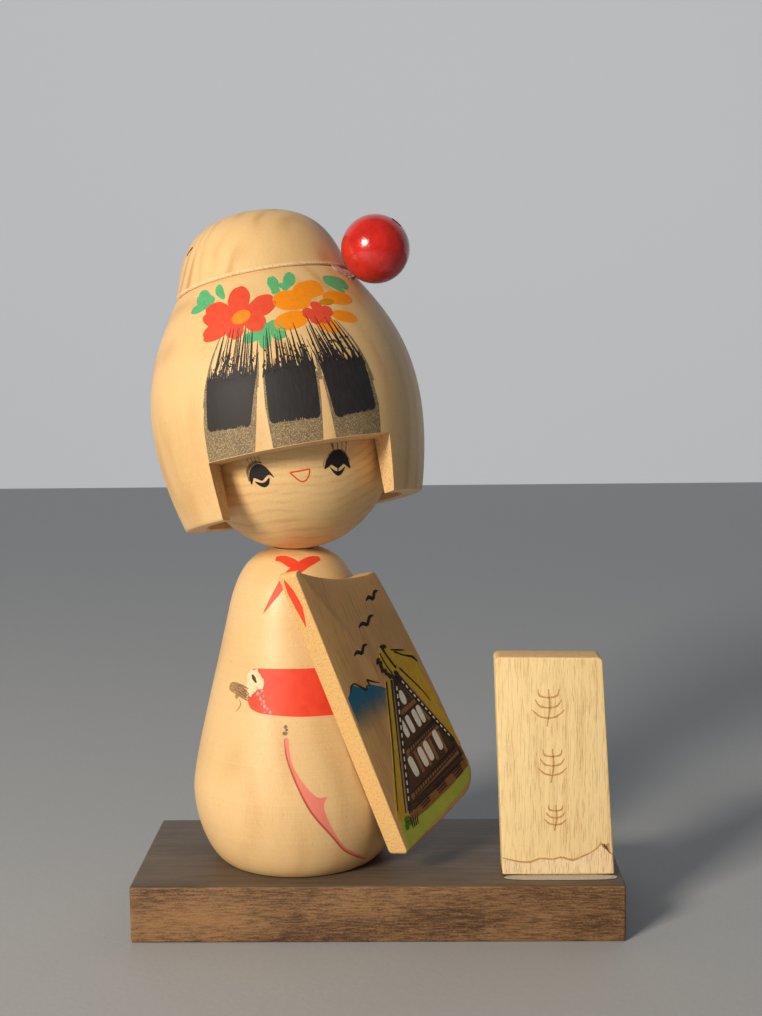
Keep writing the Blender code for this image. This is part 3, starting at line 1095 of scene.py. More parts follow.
@dataclass(frozen=True)
class StainedBoard:
    """The plinth's stained board: smoother on top, where it is painted greyer and darker as sheen and shade;
    browner and rougher on its sawn sides.

    Attributes:
        name: The material's name.
        top_pale: Pale colour of the top, greyer and darker than the sides: painted sheen and shade.
        top_dark: Dark colour of the top, with the same painted sheen and shade.
        side_pale: Pale colour of the sides.
        side_dark: Dark colour of the sides.
    """

    name: str = "plinth_stain"
    top_pale: Colour = swatch(112, 96, 78)
    top_dark: Colour = swatch(74, 62, 50)
    side_pale: Colour = swatch(158, 118, 78)
    side_dark: Colour = swatch(74, 50, 33)

    def make(self, place: Matrix) -> bpy.types.Material:
        """Build the material."""
        recipe = Recipe(self.name, place)
        top = recipe.facing(2).between(0.35, 0.8)
        streak = recipe.noise((26.0, 0.32, 0.32), 3.0, 0.65, 2.0)
        dash = recipe.noise((3.6, 0.4, 0.4), 3.0, 0.6, 9.0)
        fuzz = recipe.noise((0.7, 0.3, 0.22), 3.0, 0.7, 5.0)
        cloud = recipe.noise((30.0, 9.0, 9.0), 2.0, 0.5, 4.0)
        top_share = streak * 0.7 + dash * 0.3 + (cloud - 0.5) * 0.5
        side_share = dash * 0.55 + fuzz * 0.5 + (cloud - 0.5) * 0.4
        # The top's greyer, darker colour is painted sheen and shade; the sides' rough sawn fibre is real.
        top_colour_painted_sheen = recipe.mix(top_share.between(0.3, 0.72), self.top_pale, self.top_dark)
        side_colour = recipe.mix(side_share.between(0.36, 0.7), self.side_pale, self.side_dark)
        colour = recipe.mix(top, side_colour, top_colour_painted_sheen)
        worn = recipe.along(2).between(13.6, 14.1) * (1.0 - top) * fuzz.between(0.4, 0.6)
        colour = recipe.mix(worn * 0.5, colour, swatch(190, 150, 105))
        height = streak * 0.5 + dash * 0.4 + fuzz * (1.0 - top) * 1.6
        recipe.bump(height, 0.07)
        return recipe.finish(colour, 0.62 - top * 0.12 + (fuzz - 0.5) * 0.3, Specular_IOR_Level=0.4)


@dataclass(frozen=True)
class Lacquer:
    """Red lacquer brushed on the bead: deeper where it pooled, with faint brush ridges.

    Attributes:
        name: The material's name.
        bright: Colour of the thin coat.
        deep: Colour where it pooled.
    """

    name: str = "red_lacquer"
    bright: Colour = swatch(218, 42, 30)
    deep: Colour = swatch(160, 16, 18)

    def make(self, place: Matrix) -> bpy.types.Material:
        """Build the material."""
        recipe = Recipe(self.name, place)
        brush = recipe.noise((2.6, 0.9, 6.0), 3.0, 0.6)
        pool = recipe.noise((4.0, 4.0, 4.0), 2.0, 0.5, 6.0)
        ridge = recipe.noise((1.1, 1.1, 1.1), 2.0, 0.6, 2.0)
        colour = recipe.mix((brush * 0.3 + pool * 0.6).between(0.25, 0.85), self.bright, self.deep)
        recipe.bump(ridge * 0.7 + brush * 0.6, 0.1)
        return recipe.finish(colour, 0.2 + (brush - 0.5) * 0.16, Coat_Weight=0.6, Coat_Roughness=0.1)


@dataclass(frozen=True)
class Paint:
    """Opaque poster paint with faint brush streaks.

    Attributes:
        name: The material's name.
        colour: Its colour.
        other: The colour that its thin places drift to.
        streak: Size of the streaks along X, Y and Z, mm.
        patchy: How much the wood shows through, from 0.
        roughness: Its roughness.
    """

    name: str
    colour: Colour
    other: Colour
    streak: tuple[float, float, float] = (1.6, 1.6, 1.6)
    patchy: float = 0.0
    roughness: float = 0.5

    def make(self, place: Matrix) -> bpy.types.Material:
        """Build the material."""
        recipe = Recipe(self.name, place)
        flow = recipe.noise(self.streak, 3.0, 0.6, 1.0)
        grain = recipe.noise((0.22, 0.22, 0.22), 2.0, 0.6, 8.0)
        colour = recipe.mix((flow * 0.8 + (grain - 0.5) * 0.4).between(0.25, 0.75), self.colour, self.other)
        recipe.bump(flow * 0.5 + grain * 0.5, 0.02)
        sockets = {}
        if self.patchy > 0.0:
            bare = (grain * 0.6 + flow * 0.5).between(0.3 + 0.3 * self.patchy, 0.42 + 0.3 * self.patchy)
            sockets["Alpha"] = bare
        return recipe.finish(colour, self.roughness + (flow - 0.5) * 0.15, Specular_IOR_Level=0.35, **sockets)


@dataclass(frozen=True)
class Wash:
    """Thin paint that fades out over a height, or is scumbled all over.

    Attributes:
        name: The material's name.
        colour: Its colour.
        other: The colour it drifts to as it thins.
        fade: Heights along Y of the piece at which it is gone and at which it is full, mm.
        strength: Its greatest cover.
        speckle: How much it breaks up in specks.
        roughness: Its roughness.
    """

    name: str
    colour: Colour
    other: Colour
    fade: tuple[float, float] | None = None
    strength: float = 0.9
    speckle: float = 0.0
    roughness: float = 0.55

    def make(self, place: Matrix) -> bpy.types.Material:
        """Build the material."""
        recipe = Recipe(self.name, place)
        soft = recipe.noise((3.0, 6.0, 3.0), 2.0, 0.5, 3.0)
        speck = recipe.noise((0.24, 0.24, 0.34), 2.0, 0.65, 12.0)
        cover = self.strength
        drift = soft
        if self.fade is not None:
            level = recipe.along(1) + (soft - 0.5) * 3.0
            full = level.between(*self.fade)
            cover = full * self.strength
            drift = 1.0 - full
        if self.speckle > 0.0:
            cover = cover * (1.0 - self.speckle + self.speckle * 1.6 * speck.between(0.38, 0.58))
        colour = recipe.mix(drift, self.colour, self.other)
        colour = recipe.mix(speck.between(0.5, 0.66) * self.speckle * 0.7, colour, swatch(46, 42, 38))
        return recipe.finish(
            colour, self.roughness + (speck - 0.5) * 0.1, Alpha=cover.math("MINIMUM", 1.0),
                Specular_IOR_Level=0.3
        )


@dataclass(frozen=True)
class Glue:
    """Dried clear glue.

    Attributes:
        name: The material's name.
        tint: Its colour.
        cover: How much it hides.
    """

    name: str
    tint: Colour
    cover: float = 0.3

    def make(self, place: Matrix) -> bpy.types.Material:
        """Build the material."""
        recipe = Recipe(self.name, place)
        cloud = recipe.noise((1.2, 1.2, 1.2), 3.0, 0.6)
        recipe.bump(cloud, 0.15)
        colour = recipe.mix(cloud.between(0.3, 0.7), self.tint, tuple(c * 0.75 for c in self.tint))
        cover = cloud * 0.3 + (self.cover - 0.15)
        return recipe.finish(colour, 0.16 + cloud * 0.1, Alpha=cover, Coat_Weight=0.5, Coat_Roughness=0.08)


@dataclass(frozen=True)
class Steel:
    """Plain drawn steel with fine marks and a little rust.

    Attributes:
        name: The material's name.
    """

    name: str

    def make(self, place: Matrix) -> bpy.types.Material:
        """Build the material."""
        recipe = Recipe(self.name, place)
        marks = recipe.noise((0.15, 0.15, 3.0), 3.0, 0.6)
        rust = recipe.noise((0.8, 0.8, 0.8), 3.0, 0.6, 4.0).between(0.55, 0.7)
        colour = recipe.mix(marks, swatch(190, 188, 184), swatch(128, 126, 122))
        colour = recipe.mix(rust * 0.6, colour, swatch(110, 62, 34))
        recipe.bump(marks, 0.02)
        return recipe.finish(colour, 0.34 + marks * 0.2 + rust * 0.2, Metallic=1.0 - rust * 0.7)


HAIR_WOOD = TurnedWood("hair_wood", ring=6.0, ring_strength=0.36, marks=0.12, seed=1.0)
KNOT_WOOD = TurnedWood("knot_wood", pith=(9.0, 30.0, 0.6), ring=3.6, ring_strength=0.55, marks=0.1, seed=2.0)
FACE_WOOD = TurnedWood(
    "face_wood",
    pith=(-3.0, 34.0, 0.25),
    tree_axis=1,
    ring=1.9,
    ring_strength=0.3,
    sharpness=3.0,
    wander=5.0,
    fibre=(2.0, 0.3),
    marks=0.5,
    seed=3.0,
)
BODY_WOOD = TurnedWood("body_wood", ring=8.0, ring_strength=0.22, marks=0.3, pale=swatch(243, 205, 148),
    seed=4.0)
PEG_WOOD = TurnedWood("peg_wood", ring=1.6, coat=0.0, roughness=0.7, seed=5.0)
SAWN_WINDOW = EndGrain("sawn_window", swatch(236, 198, 142), swatch(168, 120, 72), 0.4, 0.45)
SLEEVE_FACE = SawnWood("sleeve_wood", swatch(198, 156, 102), swatch(132, 88, 46), 1, (9.0, 0.5), 0.22, 0.6,
    0.03, 0.5)
SLEEVE_EDGE = EndGrain("sleeve_edge", swatch(234, 192, 126), swatch(196, 142, 76), 0.34, 0.5)
SIGN_FACE = SawnWood("sign_wood", swatch(255, 226, 168), swatch(196, 148, 90), 1, (4.5, 0.22), 0.3, 0.3,
    0.05, 0.7)
SIGN_TORN = SawnWood("sign_torn", swatch(250, 222, 176), swatch(214, 166, 118), 1, (3.0, 0.3), 0.3, 0.5,
    0.1, 0.8)
SIGN_END = EndGrain("sign_end", swatch(236, 196, 138), swatch(186, 140, 88), 0.4, 0.4)
RED = Paint("red_paint", swatch(244, 78, 48), swatch(232, 62, 38), (3.0, 3.0, 3.0))
FLOWER_RED = Paint("flower_red", swatch(232, 84, 54), swatch(222, 68, 44), (0.8, 0.8, 3.0))
FLOWER_ORANGE = Paint("flower_orange", swatch(250, 150, 20), swatch(240, 134, 12), (1.4, 1.4, 1.4))
FLOWER_HEART = Paint("flower_heart", swatch(246, 148, 36), swatch(228, 120, 30))
MUSTARD = Paint("mustard_paint", swatch(206, 138, 16), swatch(182, 116, 10))
LEAF_GREEN = Paint("leaf_green", swatch(98, 186, 124), swatch(70, 164, 110), (0.7, 0.7, 2.4))
BLACK = Paint("black_paint", swatch(38, 36, 38), swatch(54, 52, 54), (0.35, 0.35, 3.0), 0.0, 0.6)
DRY_BLACK = Paint("dry_black_paint", swatch(34, 32, 32), swatch(48, 45, 42), (0.3, 0.3, 1.6), 0.5, 0.6)
EYE_BLACK = Paint("eye_black", swatch(24, 22, 24), swatch(40, 38, 40), (0.5, 0.5, 0.5), 0.0, 0.55)
MOUTH_RED = Paint("mouth_red", swatch(226, 74, 44), swatch(208, 56, 34), (0.4, 0.4, 0.4))
GREY_HEM = Wash("grey_scumble", swatch(152, 138, 112), swatch(116, 102, 80), None, 0.8, 0.66)
EYE_WASH = Wash("eye_wash", swatch(92, 82, 66), swatch(120, 104, 80), None, 0.6, 0.5)
PINK = Paint("pink_paint", swatch(246, 142, 122), swatch(240, 122, 106), (3.0, 3.0, 8.0))
PINK_LINE = Paint("pink_line", swatch(196, 96, 74), swatch(176, 80, 60))
DAB_BROWN = Paint("dab_brown", swatch(150, 126, 92), swatch(96, 78, 56), (0.5, 0.5, 0.5), 0.3)
HILL = Wash("hill_teal", swatch(0, 98, 132), swatch(24, 112, 122), (29.0, 40.0), 0.97)
INK = Paint("sleeve_ink", swatch(26, 20, 18), swatch(44, 34, 28), (0.6, 0.6, 0.6), 0.0, 0.5)
THATCH = Paint("thatch_yellow", swatch(196, 160, 42), swatch(160, 122, 26), (0.6, 5.0, 0.6))
GABLE = Paint("gable_brown", swatch(74, 44, 24), swatch(46, 28, 18), (0.7, 0.7, 0.7))
PLANK = Paint("plank_brown", swatch(140, 96, 54), swatch(112, 72, 38), (0.5, 3.0, 0.5))
PAPER = Paint("window_white", swatch(226, 222, 212), swatch(206, 198, 184))
GRASS = Wash("grass_green", swatch(150, 170, 56), swatch(182, 188, 80), None, 0.95, 0.1)
MOSS = Paint("moss_green", swatch(72, 112, 26), swatch(50, 84, 20), (0.5, 0.5, 0.5), 0.35)
TORN = EndGrain("torn_wood", swatch(250, 226, 188), swatch(226, 184, 134), 0.5, 0.5, 0.85)
SPLINTER = SawnWood("splinter_wood", swatch(176, 140, 100), swatch(92, 62, 38), 0, (2.0, 0.2), 0.8, 0.6,
    0.08, 0.85)
# Painted shade: a dark film for the shade inside a hole or chip that has no depth.
HOLE_SHADE = Paint("painted_hole_shade", swatch(104, 66, 40), swatch(66, 40, 24), (0.4, 0.4, 0.4), 0.0, 0.9)
STAIN = Wash("glue_stain", swatch(150, 118, 78), swatch(176, 140, 96), None, 0.55, 0.3)
CLEAR_GLUE = Glue("clear_glue", swatch(244, 236, 224), 0.5)
PINK_GLUE = Glue("pink_glue", swatch(255, 238, 222), 0.8)
INCISED = Wash("incised_line", swatch(222, 172, 112), swatch(204, 150, 92), None, 0.6, 0.35)


def paint_on(
    name: str,
    outlines: Sequence[Sequence[Point]],
    surface: Surface,
    coat: int,
    finish: object,
    place: Matrix,
    body: Body,
    cell: float | None = 1.1,
    trim: tuple[Vector, Vector] | None = None,
) -> None:
    """Lay a film, put it in its place, dress it and let it ride.

    Args:
        name: The film's name.
        outlines: Closed outlines on the unrolled surface.
        surface: What the film lies on.
        coat: 1 on bare wood, 2 on paint, and so on.
        finish: The finish it is dressed in.
        place: The frame it is modelled in.
        body: The body it moves with.
        cell: Size of the cells that follow a curved surface, None on a flat one.
        trim: A point and a normal of a plane beyond which there is nothing.
    """
    piece = set_down(film(name, outlines, surface, coat, cell, trim), place)
    dress(piece, finish.make(place))
    hand_over(piece, body)


def turn_dowel(name: str, radius: float, ends: tuple[float, float], place: Matrix, body: Body,
    node: str) -> None:
    """Turn a dowel with chamfered ends and hand it over.

    Args:
        name: The piece's name.
        radius: Its radius.
        ends: Heights of its lower and upper end.
        place: The frame it stands in.
        body: The body it moves with.
        node: The solid it stands for.
    """
    low, high = ends
    inner = radius - DOWEL_CHAMFER
    profile = [(0.0, high), (inner, high), (radius, high - DOWEL_CHAMFER)]
    profile += [(radius, low + DOWEL_CHAMFER), (inner, low), (0.0, low)]
    piece = set_down(turned(name, profile, SMALL_STEPS), place)
    dress(piece, PEG_WOOD.make(place))
    hand_over(piece, body, Slot.DOWEL, node)


# ---------------------------------------------------------------------------------------------
# The stand: plinth, screw, body, sleeve and sign
# ---------------------------------------------------------------------------------------------


@dataclass
class Plinth:
    """The stained board that everything stands on, and the screw that comes up through it.

    Attributes:
        rounding: Radius of the board's edges.
        shank: Radius of the screw's bore.
        recess: Radius of the recess for its head.
        recess_height: Depth of that recess.
        screw_radius: Radius of the screw.
        screw_head: Radius of its head.
        screw_sink: How far its head is sunk.
        screw_length: Its length.
    """

    rounding: float = 0.7
    shank: float = 1.9
    recess: float = 3.9
    recess_height: float = 4.0
    screw_radius: float = 1.6
    screw_head: float = 3.6
    screw_sink: float = 1.5
    screw_length: float = 26.0

    def build(self) -> None:
        """Build the board and its screw."""
        self.build_board()
        self.build_screw()

    def build_board(self) -> None:
        """Scale a cube to the board's box, round it and drill it."""
        low, high = (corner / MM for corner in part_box("base_plinth"))
        start_clean()
        bpy.ops.mesh.primitive_cube_add(size=1.0, location=(low + high) / 2.0, scale=high - low)
        piece = name_piece("plinth_board")
        bpy.ops.object.transform_apply(location=True, rotation=True, scale=True)
        bpy.ops.object.mode_set(mode="EDIT")
        bpy.ops.mesh.select_all(action="SELECT")
        bpy.ops.mesh.bevel(offset=self.rounding, segments=4, profile=0.5)
        bpy.ops.object.mode_set(mode="OBJECT")
        doll_x = stance_frame().translation.x / MM
        bore = [(0.0, high.z + 1.0), (self.shank, high.z + 1.0), (self.shank, self.recess_height)]
        bore += [(self.recess, self.recess_height), (self.recess, -1.0), (0.0, -1.0)]
        drill = turned("drill", bore, SMALL_STEPS)
        drill.location.x = doll_x
        cut(piece, drill)
        set_down(piece, Matrix.Identity(4))
        dress(piece, StainedBoard().make(Matrix.Identity(4)))
        hand_over(piece, Body.STAND, Slot.PLINTH, "base_plinth")

    def build_screw(self) -> None:
        """Turn the countersunk screw with its thread, and cut its slot."""
        neck = self.screw_sink + 2.2
        tip = self.screw_sink + self.screw_length
        profile = [(0.0, tip), (0.5, tip - 1.4)]
        pitches = 14
        pitch = (tip - neck - 6.0) / pitches
        for i in range(pitches):
            top = tip - 1.6 - i * pitch
            grown = min(1.0, 0.45 + 0.15 * i)
            profile += [(self.screw_radius * grown, top - pitch * 0.5), (1.15 * grown, top - pitch * 0.95)]
        profile += [(self.screw_radius * 0.85, neck + 3.6), (self.screw_radius, neck)]
        profile += [(self.screw_head, self.screw_sink + 0.7), (self.screw_head, self.screw_sink),
            (0.0, self.screw_sink)]
        piece = turned("screw_with_thread", profile, SMALL_STEPS)
        start_clean()
        bpy.ops.mesh.primitive_cube_add(size=1.0, location=(0.0, 0.0, self.screw_sink), scale=(9.0, 0.9, 1.8))
        slot = name_piece("slot_cutter")
        bpy.ops.object.transform_apply(location=True, rotation=True, scale=True)
        cut(piece, slot)
        place = Matrix.Translation((stance_frame().translation.x, 0.0, 0.0))
        set_down(piece, place)
        dress(piece, Steel("screw_steel").make(place))
        hand_over(piece, Body.STAND, Slot.STEEL, "foot_screw")


@dataclass
class DollBody:
    """The turned pear, its dowel and what is painted and torn on it.

    Attributes:
        dome: Knots of the shoulder's curve, radius and height above the plinth.
        flank: Knots of the flank's curve.
        tuck: Knots of the curve under the belly.
        ball_radius: Radius of the dish for the head's ball.
        ball_height: Height of the ball's middle.
        peg_radius: Radius of the neck dowel.
        peg_bottom: Height of its lower end.
        peg_top: Height of its upper end.
        foot_bore: How far up the screw's bore reaches into it.
    """

    dome: tuple[Point, ...] = ((0.0, 79.6), (9.405, 79.6), (14.2, 76.5), (17.1, 63.5))
    flank: tuple[Point, ...] = ((17.1, 63.5), (21.0, 45.9), (26.8, 24.9), (26.8, 18.5))
    tuck: tuple[Point, ...] = ((26.8, 18.5), (26.8, 11.5), (23.8, 3.0), (20.1, GAP))
    ball_radius: float = 24.4
    ball_height: float = 103.2
    peg_radius: float = 4.0
    peg_bottom: float = 63.0
    peg_top: float = 92.0
    foot_bore: float = 13.6

    def side(self) -> tuple[Point, ...]:
        """The whole outer side, from the middle of the top to the foot."""
        return tuple(bezier(self.dome, 40) + bezier(self.flank, 44)[1:] + bezier(self.tuck, 26)[1:])

    def profile(self) -> list[Point]:
        """The pear's profile with the dish, the dowel's bore and the screw's bore."""
        dish = self.ball_radius + GAP
        bore = self.peg_radius + GAP
        outer = [p for p in self.side() if math.hypot(p[0], p[1] - self.ball_height) > dish]
        lip = math.acos(outer[0][0] / dish)
        start = -math.acos(bore / dish)
        hollow = arc(dish, start, -lip, 10, (0.0, self.ball_height))
        drilled = [(0.0, self.peg_bottom - GAP), (bore, self.peg_bottom - GAP)]
        pilot = [(1.9, GAP), (1.9, self.foot_bore), (0.0, self.foot_bore)]
        foot = [(self.tuck[3][0] - 0.5, 0.0 + GAP)]
        return drilled + hollow + outer + foot + pilot

    def sleeve_plane(self) -> tuple[Vector, Vector]:
        """The planed flat the sleeve is glued to: a point and its outward normal, mm."""
        plane = stance_frame().inverted() @ sleeve_frame()
        normal = plane.to_3x3() @ Vector((0.0, 0.0, 1.0))
        return plane.to_translation() / MM - normal * GAP, normal.normalized()

    def build(self) -> None:
        """Build the pear, its dowel and its decoration."""
        place = stance_frame()
        piece = turned("turned_pear", self.profile())
        spot, normal = self.sleeve_plane()
        pick(piece)
        bpy.ops.object.mode_set(mode="EDIT")
        bpy.ops.mesh.select_all(action="SELECT")
        bpy.ops.mesh.bisect(plane_co=spot, plane_no=normal, use_fill=True, clear_outer=True)
        tidy_mesh()
        bpy.ops.object.mode_set(mode="OBJECT")
        set_down(piece, place)
        dress(piece, BODY_WOOD.make(place))
        hand_over(piece, Body.STAND, Slot.TURNED, "doll_body")
        ends = (self.peg_bottom, self.peg_top)
        turn_dowel("neck_peg", self.peg_radius, ends, place, Body.STAND, "neck_dowel")
        self.paint()
        self.scar(place)

    def film(self, name: str, outlines: list, surface: Surface, coat: int, finish: object) -> None:
        """Lay one film of paint on the body, trimmed where the sleeve's flat begins."""
        paint_on(name, outlines, surface, coat, finish, stance_frame(), Body.STAND, trim=self.sleeve_plane())

    def paint(self) -> None:
        """Paint the collar, the sash and the kimono's edge."""
        shoulder = ShoulderSurface(self.side(), 74.0, math.radians(30.0))
        side = TurnedSurface(self.side(), 20.0)
        left = stroke([(-4.3, -1.4), (-2.4, -1.7), (-0.2, -3.1), (2.4, -4.9)], [1.3, 2.3, 2.9, 1.6])
        right = stroke(
            [(6.5, -0.9), (4.6, -1.9), (1.8, -4.3), (-1.2, -7.2), (-3.9, -11.2), (-7.0, -15.5)],
            [1.2, 2.7, 2.9, 2.4, 1.7, 0.05],
        )
        self.film("collar_left_stroke", [left], shoulder, 1, RED)
        self.film("collar_right_stroke", [right], shoulder, 2, RED)
        sash = [(-10.8, 49.0), (-10.2, 51.0), (-8.0, 52.0), (5.1, 52.2), (9.7, 51.8), (19.0, 50.9)]
        sash += [(18.0, 40.6), (12.1, 40.7), (8.5, 40.9), (1.9, 41.0), (-4.9, 41.4), (-8.2, 41.9),
            (-10.2, 43.6)]
        self.film("sash", [smooth(sash, 3)], side, 1, RED)
        hem_left = [(-1.4, 35.9), (-0.9, 31.6), (1.0, 25.3), (3.6, 18.5), (7.2, 12.4), (10.5, 7.4),
            (14.5, 4.4)]
        hem_right = [(17.6, 2.9), (10.6, 8.2), (7.5, 13.9), (6.0, 18.6), (5.9, 20.6), (6.5, 22.1),
            (4.9, 22.0)]
        hem_right += [(2.8, 24.6), (0.3, 29.7), (-0.5, 34.2), (-0.6, 35.9)]
        self.film("kimono_edge", [smooth(hem_left + hem_right, 3)], side, 1, PINK)
        line = stroke(hem_left + [(17.8, 2.7)], [0.12, 0.3, 0.36, 0.4, 0.42, 0.42, 0.3, 0.08], 4)
        self.film("kimono_line", [line], side, 2, PINK_LINE)
        dabs = [blob((-1.2, 38.7), 0.9, 0.8, 70.0), blob((-1.3, 37.2), 1.0, 1.1, 80.0),
            blob((-1.0, 38.0), 0.7, 0.6)]
        self.film("brush_dab", dabs, side, 1, DAB_BROWN)

    def scar(self, place: Matrix) -> None:
        """Make the torn patch where a second sleeve was once glued, with its glue and splinter."""
        dice = random.Random(11)
        side = TurnedSurface(self.side(), 20.0)
        wound = [(-11.2, 48.2), (-11.4, 50.0), (-10.4, 51.4), (-8.6, 51.5), (-7.4, 50.4), (-6.6, 48.9)]
        wound += [(-7.0, 47.2), (-8.2, 47.3), (-9.0, 46.2), (-10.0, 45.2), (-10.6, 46.4)]
        rough = [(u + dice.uniform(-0.25, 0.25), v + dice.uniform(-0.25, 0.25)) for u, v in smooth(wound, 3)]
        self.film("torn_patch", [rough], side, 3, TORN)
        # The dark stroke across the torn patch is painted shade inside a hole.
        self.film("torn_hole", [stroke([(-10.0, 50.4), (-9.4, 49.6), (-8.6, 48.6)], [0.4, 1.0, 0.3])], side,
            4, HOLE_SHADE)
        stains = [blob((-15.6, 46.7), 2.6, 2.4, 20.0), blob((-13.6, 45.2), 2.2, 1.2, 70.0)]
        self.film("glue_stain", stains, side, 1, STAIN)
        hairline = stroke([(-12.9, 44.2), (-12.3, 43.2), (-12.6, 42.2), (-13.4, 41.2)],
            [0.1, 0.34, 0.3, 0.08])
        self.film("hairline_crack", [hairline], side, 1, STAIN)
        self.splinters(side, place, dice)
        self.glue_beads(side, place, dice)

    def splinters(self, side: TurnedSurface, place: Matrix, dice: random.Random) -> None:
        """Lay a bundle of torn fibres beside the patch."""
        fibres = []
        for i in range(11):
            share = i / 10
            start = (-14.6 + dice.uniform(-0.6, 0.4), 48.1 - 2.3 * share + dice.uniform(-0.15, 0.15))
            end = (start[0] + dice.uniform(3.4, 4.8), start[1] - dice.uniform(0.9, 1.6))
            fibres.append(stroke([start, ((start[0] + end[0]) / 2, (start[1] + end[1]) / 2 + 0.1), end],
                [0.15, 0.5, 0.2]))
        for number, lift in enumerate((3, 12, 22)):
            name = f"torn_fibres_{number + 1}"
            paint_on(name, fibres[number::3], side, lift, SPLINTER, place, Body.STAND)

    def glue_beads(self, side: TurnedSurface, place: Matrix, dice: random.Random) -> None:
        """Dot dried glue down the end of the sash."""
        start_clean()
        drops = []
        for i in range(16):
            share = i / 15
            u = -7.8 + 2.6 * share + dice.uniform(-0.8, 0.8)
            v = 47.4 - 5.6 * share + dice.uniform(-0.3, 0.3)
            size = dice.uniform(0.18, 0.42)
            bpy.ops.mesh.primitive_uv_sphere_add(
                segments=14, ring_count=8, radius=size, location=side.spot(u, v, 0.02), scale=(1.0, 0.5, 1.3)
            )
            drops.append(bpy.context.active_object)
        start_clean()
        for drop in drops:
            drop.select_set(True)
        bpy.context.view_layer.objects.active = drops[0]
        bpy.ops.object.join()
        piece = name_piece("glue_beads")
        bpy.ops.object.transform_apply(location=True, rotation=True, scale=True)
        set_down(piece, place)
        dress(piece, CLEAR_GLUE.make(place))
        hand_over(piece, Body.STAND)


